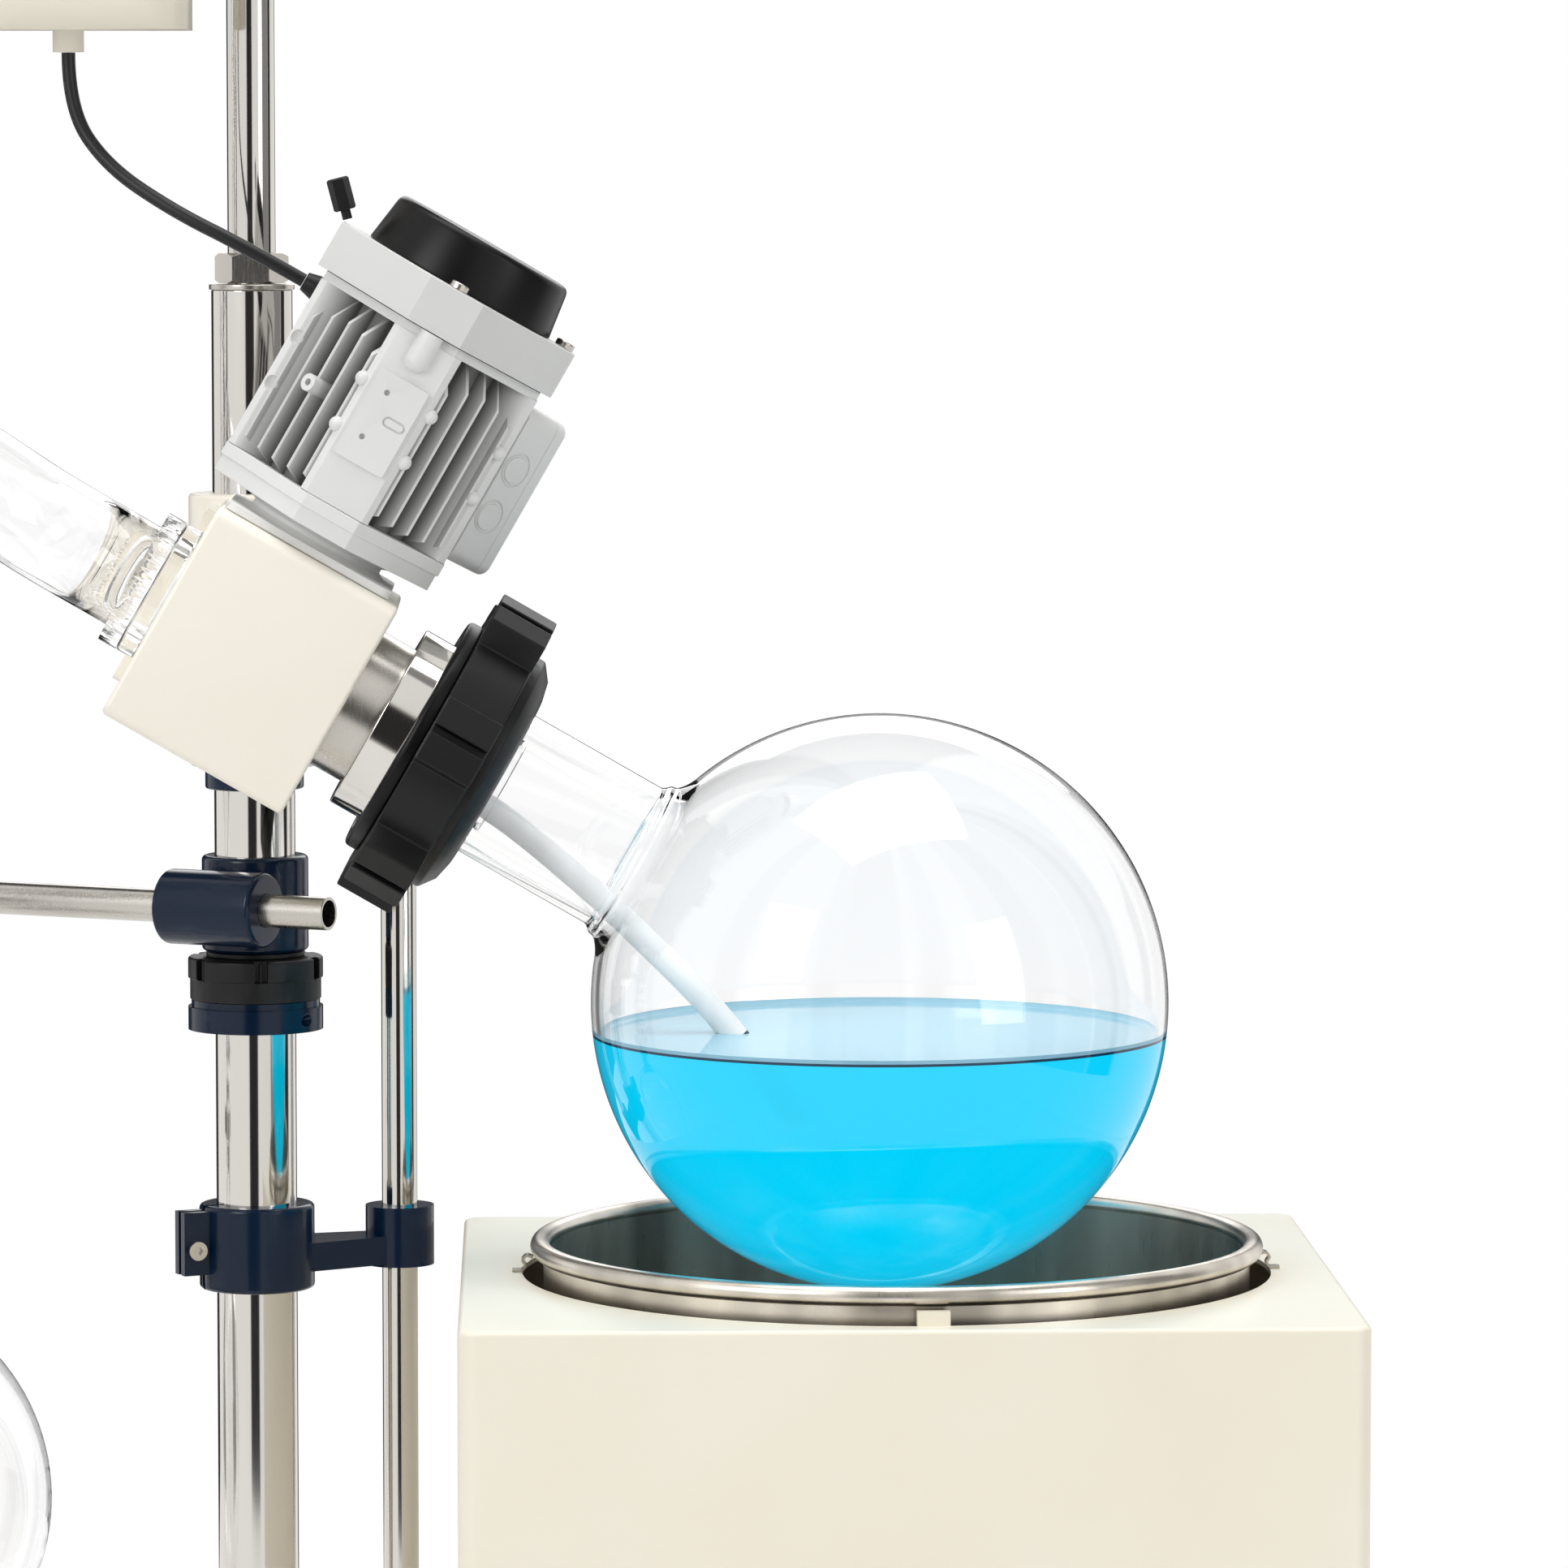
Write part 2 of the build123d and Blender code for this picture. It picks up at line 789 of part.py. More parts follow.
def bevel_gear():
    """Driven wheel on the hollow shaft, its teeth facing the motor's axis."""
    bore = sleeve_radius + running_gap
    body = bevel_blank(gear_pitch_radius, pinion_pitch_radius, gear_back, bore)
    for tooth in bevel_teeth(gear_pitch_radius, pinion_pitch_radius, gear_teeth, full_turn / gear_teeth / 2):
        body += tooth
    body -= rod(bore, -overrun, pinion_pitch_radius + gear_back * 2)
    return flask_axis.location * Pos(0, 0, -motor_along) * body


def drive_pinion():
    """Motor shaft with the bevel pinion cut on its lower end."""
    blank = bevel_blank(pinion_pitch_radius, gear_pitch_radius, gear_back, 0)
    for tooth in bevel_teeth(pinion_pitch_radius, gear_pitch_radius, pinion_teeth, 0):
        blank += tooth
    shaft = rod(motor_shaft_radius, gear_pitch_radius, fan_high - fan_wall - 2 * seat_gap)
    return motor_axis.location * (blank + shaft)


def motor_adapter():
    """Square plate on the head, then a waisted neck up to the end shield, bored for the pinion."""
    low = head_high + seat_gap
    plate = rounded_block(adapter_side, adapter_side, low, low + adapter_plate, head_round)
    top = shield_low - seat_gap
    rise = top - low - adapter_plate
    neck = spun([
        (0, low + adapter_plate / 2),
        (adapter_neck_radius + rise * 0.6, low + adapter_plate / 2),
        (adapter_neck_radius + rise * 0.6, low + adapter_plate),
        (adapter_neck_radius, low + adapter_plate + rise * 0.35),
        (adapter_neck_radius, low + adapter_plate + rise * 0.65),
        (adapter_neck_radius + rise, top),
        (0, top),
    ])
    return motor_axis.location * (plate + neck - rod(pinion_hole_radius, low - overrun, top + overrun))


def end_shield():
    """Two stacked chamfered squares that carry the lower end of the stator."""
    middle = shield_low + shield_height * shield_split_share
    top = stator_low - seat_gap
    lower = turned_square(shield_side - shield_step, shield_chamfer, shield_low, middle)
    upper = turned_square(shield_side, shield_chamfer, middle, top)
    hole = rod(motor_shaft_radius + seat_gap, shield_low - overrun, top + overrun)
    return motor_axis.location * (lower + upper - hole)


def fin_places():
    """Places of one face's fins across that face, the middle one at zero."""
    return [(index - (fin_count - 1) / 2) * fin_pitch for index in range(fin_count)]


def cooling_fins():
    """Fins square to the four slanting faces, thinner at their tips, their ends cut by a tapered barrel."""
    low = stator_low
    high = stator_high - stator_collar
    half_root = fin_thickness / 2
    half_tip = fin_tip_thickness / 2
    section = make_face(Polyline(
        (0, -half_root),
        (fin_reach - half_tip, -half_tip),
        (fin_reach, 0),
        (fin_reach - half_tip, half_tip),
        (0, half_root),
        close=True,
    ))
    fins = []
    for face in range(4):
        turn = Rot(0, 0, full_turn / 8 + face * full_turn / 4)
        for place in fin_places():
            fins.append(turn * Pos(0, place, 0) * section)
    outline = Circle(stator_radius)
    for fin in fins:
        outline += fin
    body = Pos(0, 0, low) * extrude(outline, high - low)
    widest = sqrt(fin_reach**2 + fin_places()[-1] ** 2) + half_root
    return body & spun([
        (0, low),
        (stator_radius, low),
        (widest, low + fin_bottom_taper),
        (widest, high - fin_top_taper),
        (stator_radius + fin_thickness, high),
        (0, high),
    ])


def corner_pads():
    """Four upright pads on the casting's corners, with chamfered edges."""
    side = Rectangle(2 * pad_reach, pad_width)
    side = chamfer(side.vertices(), pad_edge)
    outline = side + Rot(0, 0, full_turn / 4) * side
    return Pos(0, 0, stator_low) * extrude(outline, stator_high - stator_collar - stator_low)


def bracket_plate():
    """Raised plate on the camera-side pad, with two tapped holes and a cast groove."""
    width = bracket_plate_right - bracket_plate_left
    tall = bracket_plate_high - bracket_plate_low
    middle = (bracket_plate_right + bracket_plate_left) / 2
    face = -pad_reach - bracket_plate_proud
    plate = extrude(RectangleRounded(width, tall, pad_edge / 2), bracket_plate_proud + overrun)
    plate = Pos(middle, face, (bracket_plate_high + bracket_plate_low) / 2) * Rot(-90, 0, 0) * plate
    for height in (bracket_hole_low, bracket_hole_high):
        hole = Rot(90, 0, 0) * Cylinder(bracket_hole_radius, 2 * overrun)
        plate -= Pos(bracket_hole_along, face, height) * hole
    groove_high = (bracket_hole_low + bracket_hole_high) / 2
    groove_run = bracket_groove_length - bracket_groove_width / 2
    slot = SlotCenterToCenter(groove_run, bracket_groove_width)
    slot -= SlotCenterToCenter(groove_run, bracket_groove_width * groove_core_share)
    groove = Rot(90, 0, 0) * extrude(slot, bracket_groove_depth, both=True)
    return plate - Pos(bracket_groove_along + bracket_groove_length / 2, face, groove_high) * groove


def casting_bosses():
    """Domes beside the pads, a hook boss between two fins and the round boss under the fan cover."""
    half_pad = pad_width / 2
    side = pad_reach - dome_radius
    spots = [(-half_pad, -side), (half_pad, -side), (-side, -half_pad), (side, -half_pad)]
    bosses = []
    for height in (dome_low, dome_high):
        for x, y in spots:
            bosses.append(Pos(x, y, height) * Sphere(dome_radius))
    outward = Rot(0, 0, -3 * full_turn / 8) * Pos(0, 0, hook_boss_high) * Rot(0, 90, 0)
    hook = outward * rod(hook_boss_radius, stator_radius - overrun, fin_reach + 1.5 * fin_thickness)
    hook -= outward * rod(hook_hole_radius, fin_reach - overrun, fin_reach + overrun * 2)
    lug = Pos(0, -pad_reach, 0) * rod(lug_boss_radius, lug_boss_low, stator_high - seat_gap)
    lug += Pos(0, -pad_reach, lug_boss_low) * Sphere(lug_boss_radius)
    return bosses, hook, lug


def stator_housing():
    """Cast motor body: four corner pads, and fins on the slanting faces between them."""
    body = cooling_fins() + corner_pads()
    collar_side = shield_side - shield_step
    body += turned_square(collar_side, shield_chamfer, stator_high - stator_collar, stator_high - seat_gap)
    seat = Pos(terminal_near / 2, 0, 0) * block(
        terminal_near, terminal_seat_width, terminal_low + pad_edge, terminal_high - pad_edge
    )
    behind = Pos(terminal_near + fin_reach / 2, 0, 0) * block(
        fin_reach, terminal_depth + 2 * pad_edge, stator_low - overrun, stator_high - stator_collar
    )
    turn = Rot(0, 0, terminal_turn)
    body = body - turn * behind + turn * seat
    bosses, hook, lug = casting_bosses()
    for boss in bosses:
        body += boss
    body += bracket_plate()
    body += lug
    body += hook
    along, side, height = gland_spot
    pad = block(-along, 3 * gland_radius, height - gland_radius * 1.5, stator_high - seat_gap)
    body += Pos(along / 2, side, 0) * pad
    body -= rod(motor_shaft_radius + seat_gap, stator_low - overrun, stator_high + overrun)
    return motor_axis.location * body


def fan_cover():
    """Chamfered square cap over the fan, hollow underneath and carried on a post at each corner."""
    shell = turned_square(fan_side, fan_chamfer, fan_low, fan_high)
    shell = fillet(shell.edges().group_by(Axis.Z)[-1], cover_edge)
    inner_side = fan_side - 2 * fan_wall
    shell -= turned_square(inner_side, fan_chamfer, fan_low - overrun, fan_high - fan_wall)
    for turn in range(4):
        place = Rot(0, 0, turn * full_turn / 4) * Pos(pad_reach - screw_head_radius, 0, 0)
        shell += place * rod(screw_head_radius, stator_high, fan_high - fan_wall)
    return motor_axis.location * shell


def motor_fan():
    """Hub and straight blades under the cover, fixed on the motor shaft."""
    low = fan_low + seat_gap
    top = fan_high - fan_wall - 4 * seat_gap
    hub_radius = motor_shaft_radius * 2
    body = rod(hub_radius, low, top) + rod(fan_radius * 0.8, low, low + fan_blade_thickness)
    length = fan_radius - hub_radius / 2
    for index in range(fan_blade_count):
        blade = block(length, fan_blade_thickness, low, low + fan_blade_height)
        blade = Pos(hub_radius / 2 + length / 2, 0, 0) * blade
        body += Rot(0, 0, index * full_turn / fan_blade_count) * blade
    return motor_axis.location * (body - rod(motor_shaft_radius + running_gap, low - overrun, top + overrun))


def motor_cap():
    """Round black cap seated on the fan cover."""
    low = fan_high + seat_gap
    high = low + motor_cap_height
    body = spun([(0, low), (motor_cap_radius, low), (motor_cap_top_radius, high), (0, high)])
    body = fillet(body.edges().group_by(Axis.Z)[-1], motor_cap_round)
    return motor_axis.location * body


def on_terminal_face(shape):
    """Turns a shape from the motor's right to the slanting face that carries the terminal box."""
    return motor_axis.location * Rot(0, 0, terminal_turn) * shape


def terminal_box():
    """Cast box on the motor's rear right face, hollow and closed by its lid."""
    near = terminal_near + seat_gap
    reach = terminal_reach - terminal_lid_thick - seat_gap
    tall = terminal_high - terminal_low
    middle = (terminal_high + terminal_low) / 2
    body = extrude(RectangleRounded(tall, terminal_depth, terminal_round), reach - near)
    walls = 2 * terminal_wall
    inside = RectangleRounded(tall - walls, terminal_depth - walls, terminal_round / 2)
    body -= Pos(0, 0, terminal_wall) * extrude(inside, reach - near)
    body = Pos(near, 0, middle) * Rot(0, 90, 0) * body
    for height in (knockout_high, knockout_low):
        groove = Cylinder(knockout_rim_radius, knockout_proud)
        groove -= Cylinder(knockout_rim_radius - knockout_proud, knockout_proud)
        body -= knockout_place(height) * groove
        body -= knockout_place(height) * Cylinder(knockout_radius + running_gap, terminal_wall * 3)
    return on_terminal_face(body)


def knockout_place(height):
    """Frame on the box's camera-side wall, Z pointing outwards."""
    return Pos(knockout_along, -terminal_depth / 2, height) * Rot(90, 0, 0)


def terminal_lid():
    low = terminal_reach - terminal_lid_thick
    tall = terminal_high - terminal_low
    middle = (terminal_high + terminal_low) / 2
    plate = extrude(RectangleRounded(tall, terminal_depth, terminal_round), terminal_lid_thick)
    plate = fillet(plate.edges().group_by(Axis.Z)[-1], terminal_lid_thick / 4)
    return on_terminal_face(Pos(low, 0, middle) * Rot(0, 90, 0) * plate)


def knockout_plugs():
    plugs = []
    for height in (knockout_high, knockout_low):
        plug = rod(knockout_radius, -terminal_wall, knockout_proud / 2)
        plugs.append(knockout_place(height) * plug)
    return on_terminal_face(Compound(plugs))


def machine_screws():
    """Clamp screw of the brace, grub screw of the stop ring and cap screws of the fan cover's corners."""
    screws = [brace_screw(), grub_screw()]
    reach = fan_side / 2 * fan_screw_share
    for turn in (-90, 0, 90):
        place = Rot(0, 0, turn) * Pos(reach, 0, fan_high + seat_gap)
        screws.append(motor_axis.location * place * cover_screw())
    return Compound(screws)


def cover_screw():
    """Low round head with a hexagon socket, as it stands on the cover."""
    head = rod(screw_head_radius, 0, screw_head_height)
    head = fillet(head.edges().group_by(Axis.Z)[-1], screw_head_height / 4)
    socket = extrude(RegularPolygon(screw_radius * 0.8, 6), screw_head_height)
    return head - Pos(0, 0, screw_head_height / 2) * socket


def thumb_knob():
    """Hexagonal hand nut on a stud that leans out from the cover's left corner."""
    knob = extrude(RegularPolygon(thumb_radius, 6, major_radius=False), thumb_length)
    ends = knob.edges().group_by(Axis.Z)[-1] + knob.edges().group_by(Axis.Z)[0]
    knob = chamfer(ends, thumb_stud_radius / 3)
    body = rod(thumb_stud_radius, seat_gap, thumb_stud_length) + Pos(0, 0, thumb_stud_length) * knob
    place = Pos(-thumb_along, 0, fan_high) * Rot(0, -thumb_lean, 0)
    lift = thumb_stud_radius * tan(radians(thumb_lean))
    return motor_axis.location * place * Pos(0, 0, lift) * body


def cord_gland():
    """Tapered gland on the motor's rear left, where the cable leaves."""
    low = -gland_spot[0] + seat_gap
    body = spun([
        (cord_radius + seat_gap, low),
        (gland_radius * 1.3, low),
        (gland_radius * 1.3, low + gland_length / 4),
        (gland_radius, low + gland_length / 4),
        (gland_radius, low + gland_length / 2),
        (cord_radius * 1.4, low + gland_length),
        (cord_radius + seat_gap, low + gland_length),
    ])
    return motor_axis.location * Pos(0, gland_spot[1], gland_spot[2]) * Rot(0, -90, 0) * body


def motor_cord():
    """Cable from the motor's gland to the one under the control box, as runs joined by arcs."""
    points = [Vector(*point) for point in cord_points]
    radii = []
    for before, here, after in zip(points, points[1:], points[2:]):
        run_in = here - before
        run_out = after - here
        turn = radians(run_in.get_angle(run_out))
        radii.append(0.45 * min(run_in.length, run_out.length) / tan(turn / 2))
    path = FilletPolyline(*points, radius=radii)
    start = Plane(origin=points[0], z_dir=points[1] - points[0])
    body = sweep(start * Circle(cord_radius), path=path)
    print("cord length", round(path.length, 1), "radii", [round(radius, 1) for radius in radii])
    print("cord volume share", round(body.volume / (pi * cord_radius**2 * path.length), 4))
    return body


def evaporating_flask():
    """Blown flask: a sphere with a welded neck and a ground flange, one wall all round."""
    outer_join = sqrt(flask_radius**2 - (neck_radius + neck_weld_radius) ** 2)
    inner_radius = flask_radius - glass_wall
    bore = neck_radius - glass_wall
    inner_join = sqrt(inner_radius**2 - bore**2)
    body = Sphere(flask_radius)
    neck = spun([
        (0, -neck_end),
        (neck_flange_radius, -neck_end),
        (neck_flange_radius, -neck_end + neck_flange_length / 2),
        (neck_radius, -neck_end + neck_flange_length),
        (neck_radius, -outer_join - neck_weld_radius),
        (neck_radius + neck_weld_radius / 4, -outer_join - neck_weld_radius / 3),
        (neck_radius + neck_weld_radius, -outer_join),
        (0, -outer_join),
    ])
    body = body + neck
    body -= Sphere(inner_radius)
    body -= rod(bore, -neck_end - overrun, -inner_join)
    return flask_axis.location * body


def liquid():
    """Lower part of the flask's filling, level on top and clear of the glass and the feed tube."""
    body = Sphere(flask_radius - glass_wall - liquid_gap)
    size = 2 * flask_radius
    body = body & Pos(0, 0, -size / 2 - liquid_drop) * Box(2 * size, 2 * size, size)
    body = Pos(flask_x, 0, flask_z) * body
    return body - feed_path_tube(feed_radius + seat_gap)


def feed_path_tube(radius):
    points = [Vector(flask_x + x, 0, flask_z + z) for x, z in feed_points]
    path = FilletPolyline(*points, radius=[feed_bend] * (len(points) - 2))
    start = Plane(origin=points[0], z_dir=points[1] - points[0])
    return sweep(start * Circle(radius), path=path)


def feed_tube():
    """White hose from the duct's mouth down into the liquid."""
    return feed_path_tube(feed_radius) - feed_path_tube(feed_bore_radius)


def vapour_duct():
    """Glass tube through the hollow shaft, flared at its inner mouth, with a flange outside the head."""
    left = -head_left - seat_gap - manifold_flange_length
    bore = duct_radius - duct_wall
    return flask_axis.location * spun([
        (bore, left),
        (manifold_flange_radius, left),
        (manifold_flange_radius, -head_left - seat_gap),
        (duct_radius, -head_left - seat_gap),
        (duct_radius, -duct_end - duct_wall),
        (duct_lip_radius, -duct_end),
        (bore, -duct_end),
    ])


def polished_ring():
    """Turned collar on the shaft's front: a wide ring, a thin flange and the thread for the nut."""
    bore = sleeve_radius + running_gap
    thread = neck_flange_radius + nut_bore_gap
    seat = -nut_lug_back - seat_gap
    return flask_axis.location * spun([
        (bore, -polish_end),
        (polish_radius, -polish_end),
        (polish_radius, seat - polish_flange_length),
        (polish_flange_radius, seat - polish_flange_length),
        (polish_flange_radius, seat),
        (thread, seat),
        (thread, -neck_end - seat_gap),
        (bore, -neck_end - seat_gap),
    ])


def nut_back_ring():
    return flask_axis.location * ring(
        back_ring_radius, polish_flange_radius + seat_gap, -back_ring_end, -nut_lug_back - seat_gap
    )


def nut_lug_outline():
    """One lug seen along the axis: two ridges with sloping outer sides and a slot between them."""
    root = nut_body_radius - head_edge
    wide = radians(nut_lug_spread)
    slim = radians(nut_lug_top_spread)
    half_groove = nut_groove_width / 2
    floor = nut_lug_radius - nut_groove_depth
    return make_face(Polyline(
        (root * cos(wide), -root * sin(wide)),
        (nut_lug_radius * cos(slim), -nut_lug_radius * sin(slim)),
        (nut_lug_radius, -half_groove),
        (floor, -half_groove),
        (floor, half_groove),
        (nut_lug_radius, half_groove),
        (nut_lug_radius * cos(slim), nut_lug_radius * sin(slim)),
        (root * cos(wide), root * sin(wide)),
        close=True,
    ))


def coupling_nut():
    """Screwed plastic nut with grooved lugs; it holds the flask's flange against the shaft."""
    nose = neck_radius + nut_bore_gap
    thread = neck_flange_radius + 2 * nut_bore_gap
    lip_round = nut_lip_radius / 8
    body = spun([
        (nose, -neck_end + neck_flange_length + nut_bore_gap),
        (nose, -nut_front),
        (nose + lip_round, -nut_front),
        (nut_lip_radius - lip_round, -nut_front - lip_round / 4),
        (nut_lip_radius, -nut_front - lip_round),
        (nut_lip_radius, -nut_lug_front),
        (nut_body_radius, -nut_lug_front),
        (nut_body_radius, -nut_lug_back),
        (thread, -nut_lug_back),
        (thread, -neck_end + neck_flange_length + nut_bore_gap),
    ])
    lug = Pos(0, 0, -nut_lug_back) * extrude(nut_lug_outline(), nut_lug_back - nut_lug_front)
    for index in range(nut_lug_count):
        body += Rot(0, 0, nut_lug_start + index * full_turn / nut_lug_count) * lug
    return flask_axis.location * body


def condenser_jacket():
    """Glass jacket with a narrow lower neck, a domed top and a hole for the vapour manifold."""
    wall = glass_wall * 0.8
    cone = jacket_radius - jacket_neck_radius
    low = jacket_low - cone

    def profile(inset, low_end, high_end):
        return [
            (0, low_end),
            (jacket_neck_radius - inset, low_end),
            (jacket_neck_radius - inset, low),
            (jacket_radius - inset, jacket_low + inset),
            (jacket_radius - inset, jacket_high - cone - inset),
            (jacket_top_radius - inset, jacket_high - inset),
            (jacket_top_radius - inset, high_end),
            (0, high_end),
        ]

    body = spun(profile(0, jacket_neck_low, jacket_top))
    flange = rod(jacket_neck_radius + flange_lip, jacket_neck_low, jacket_neck_low + flange_lip)
    rim = rod(jacket_top_radius + flange_lip, jacket_top - flange_lip, jacket_top)
    body = body + flange + rim - spun(profile(wall, jacket_neck_low - overrun, jacket_top + overrun))
    return at_condenser * body - manifold_path_tube(manifold_radius + seat_gap)


def manifold_path_tube(radius):
    """Solid tube from the duct's flange, along the flask's axis, then to the condenser's own axis."""
    start = flask_axis.from_local_coords((0, 0, manifold_start))
    corner = flask_axis.from_local_coords((0, 0, manifold_start - manifold_run))
    end = Vector(condenser_x, condenser_y, inlet_z)
    path = FilletPolyline(start, corner, end, radius=manifold_bend)
    return sweep(Plane(origin=start, z_dir=corner - start) * Circle(radius), path=path)


def vapour_manifold():
    """Bent glass tube that joins the duct to the condenser, saddled on the jacket's wall."""
    outer = manifold_path_tube(manifold_radius)
    flange = Pos(0, 0, manifold_start - manifold_flange_length) * Cylinder(
        manifold_flange_radius, manifold_flange_length, align=(Align.CENTER, Align.CENTER, Align.MIN)
    )
    body = outer + flask_axis.location * flange
    body -= manifold_path_tube(manifold_radius - manifold_wall)
    body -= at_condenser * rod(jacket_radius + seat_gap, jacket_low, jacket_high)
    return body


def condenser_coil():
    """Cooling insert: ground cap on the jacket's rim, a middle riser and a coil joined to it at both ends."""
    coil_high = coil_low + coil_pitch * coil_turns
    nipple_z = jacket_top + flange_lip + 2 * coil_tube_radius
    body = rod(coil_tube_radius, coil_low - coil_tube_radius, nipple_z + coil_tube_radius)
    body += rod(jacket_top_radius + flange_lip, jacket_top + seat_gap, jacket_top + flange_lip)
    nipple = Pos(0, 0, nipple_z) * Rot(0, 90, 0) * rod(coil_tube_radius, 0, coil_radius)
    body += nipple
    steps = coil_turns * coil_sides
    points = [Vector(0, 0, coil_low)]
    for step in range(steps + 1):
        turn = 2 * pi * step / coil_sides
        height = coil_low + coil_pitch * coil_turns * step / steps
        points.append(Vector(coil_radius * cos(turn), coil_radius * sin(turn), height))
    points.append(Vector(0, 0, coil_high))
    for start, end in zip(points, points[1:]):
        run = end - start
        piece = Plane(origin=start, z_dir=run) * extrude(RegularPolygon(coil_tube_radius, 6), run.length)
        body += piece
    return at_condenser * body


def drain_valve():
    """Glass valve under the condenser, bored down its length and across for the key."""
    low = receiver_neck_top + seat_gap
    high = jacket_neck_low - seat_gap
    lip = receiver_neck_radius + flange_lip - seat_gap
    body = spun([
        (0, low),
        (lip, low),
        (lip, low + flange_lip),
        (valve_radius, low + 2 * flange_lip),
        (valve_radius, high - 2 * flange_lip),
        (lip, high - flange_lip),
        (lip, high),
        (0, high),
    ])
    body -= rod(valve_key_radius * 0.8, low - overrun, high + overrun)
    middle = (low + high) / 2
    body -= Pos(0, 0, middle) * Rot(90, 0, 0) * Cylinder(valve_key_radius + running_gap, 3 * valve_radius)
    return at_condenser * body


def valve_key():
    """Plug across the valve with a flat grip at the camera's side, drilled through for the flow."""
    plug = rod(valve_key_radius, -valve_radius - running_gap, valve_radius + seat_gap)
    grip = rod(valve_key_radius * 1.4, valve_radius + seat_gap, valve_radius + seat_gap + knob_height / 2)
    wing_low = valve_radius + seat_gap
    wing = block(valve_key_length, valve_key_radius * 0.7, wing_low, valve_radius + knob_height)
    body = plug + grip + wing - Cylinder(valve_key_radius / 3, 3 * valve_key_radius, rotation=(90, 90, 0))
    return at_condenser * Pos(0, 0, valve_middle) * Rot(90, 0, 0) * body


def receiving_flask():
    bore = receiver_neck_radius - glass_wall
    join = sqrt(receiver_radius**2 - receiver_neck_radius**2)
    body = Sphere(receiver_radius)
    top = receiver_neck_top - receiver_z
    lip = receiver_neck_radius + flange_lip
    body += rod(receiver_neck_radius, join - overrun, top) + rod(lip, top - flange_lip, top)
    body -= Sphere(receiver_radius - glass_wall)
    body -= rod(bore, 0, top + overrun)
    return at_condenser * Pos(0, 0, receiver_z) * body


def flask_clamp():
    """Spring ring round the two flanges, opened at the back by a gap and two ears."""
    inner = receiver_neck_radius + flange_lip + seat_gap
    outer = inner + clamp_wall
    low = receiver_neck_top - flange_lip
    high = receiver_neck_top + flange_lip
    ear = Pos(0, outer + clamp_wall, 0) * block(3 * clamp_wall, 3 * clamp_wall, low, high)
    body = rod(outer, low, high) + ear - rod(inner, low - overrun, high + overrun)
    gap = Pos(0, outer, 0) * block(clamp_wall, 6 * clamp_wall, low - overrun, high + overrun)
    return at_condenser * (body - gap)


def holder_ring(radius, z):
    inner = radius + seat_gap
    return ring(inner + clamp_wall, inner, z - clamp_height / 2, z + clamp_height / 2)


def tube_clamps():
    """Holders: condenser top, condenser neck, and the bracket behind the control box."""
    across = Vector(column_x - condenser_x, column_y - condenser_y, 0)
    turn = degrees(atan2(across.Y, across.X))
    start = jacket_radius + clamp_wall
    reach = across.length - upper_radius - clamp_wall / 2
    arm = Rot(0, 90, 0) * rod(clamp_arm_radius, start, reach)
    high = at_condenser * Pos(0, 0, clamp_high_z) * Rot(0, 0, turn) * arm
    high += at_condenser * holder_ring(jacket_radius, clamp_high_z)
    high += at_column * holder_ring(upper_radius, clamp_high_z)

    local = (barrel_place().inverse() * Pos(condenser_x, condenser_y, clamp_low_z)).position
    sleeve = barrel_place() * Pos(0, 0, local.Z) * ring(
        cross_radius + seat_gap + clamp_wall, cross_radius + seat_gap, -clamp_height, clamp_height
    )
    foot = (barrel_place() * Pos(0, 0, local.Z)).position
    aside = foot - Vector(condenser_x, condenser_y, clamp_low_z)
    aside_turn = degrees(atan2(aside.Y, aside.X))
    arm_end = aside.length - cross_radius - clamp_wall / 2
    neck_start = jacket_neck_radius + clamp_wall
    arm = at_condenser * Pos(0, 0, clamp_low_z) * Rot(0, 0, aside_turn) * Rot(0, 90, 0) * rod(
        clamp_arm_radius, neck_start, arm_end
    )
    low = sleeve + arm + at_condenser * holder_ring(jacket_neck_radius, clamp_low_z)

    z = control_low + control_height / 3
    plate_near = control_y + control_depth / 2 + seat_gap
    plate_far = column_y - upper_radius - clamp_wall / 2
    plate_left = control_x - control_width / 4
    plate = Pos((plate_left + column_x) / 2, (plate_near + plate_far) / 2, 0) * block(
        column_x - plate_left, plate_far - plate_near, z - clamp_height, z + clamp_height
    )
    bracket = plate + at_column * holder_ring(upper_radius, z)
    bracket -= at_column * rod(upper_radius + seat_gap, z - 2 * clamp_height, z + 2 * clamp_height)
    return Compound([high, low, bracket])


def control_box():
    """Box with the motor's controls, and a gland for the cable underneath."""
    high = control_low + control_height
    body = rounded_block(control_width, control_depth, control_low, high, control_round)
    body = fillet(body.edges().group_by(Axis.Z)[-1], control_round / 2)
    hollow = rounded_block(
        control_width - 2 * cabinet_wall,
        control_depth - 2 * cabinet_wall,
        control_low + cabinet_wall,
        high - cabinet_wall,
        control_round - cabinet_wall,
    )
    gland_low = control_low - control_gland
    gland = ring(gland_radius * 1.2, cord_radius + seat_gap, gland_low, control_low + cabinet_wall)
    body = body - hollow
    body -= rod(gland_radius, control_low - overrun, control_low + 2 * cabinet_wall)
    body += gland
    body -= Pos(0, -control_depth / 2, switch_z) * Box(
        switch_width + 2 * switch_gap, 3 * cabinet_wall, switch_height + 2 * switch_gap
    )
    body -= Pos(0, -control_depth / 2, knob_z) * Rot(90, 0, 0) * Cylinder(
        thumb_stud_radius + running_gap, 3 * cabinet_wall
    )
    return Pos(control_x, control_y, 0) * body


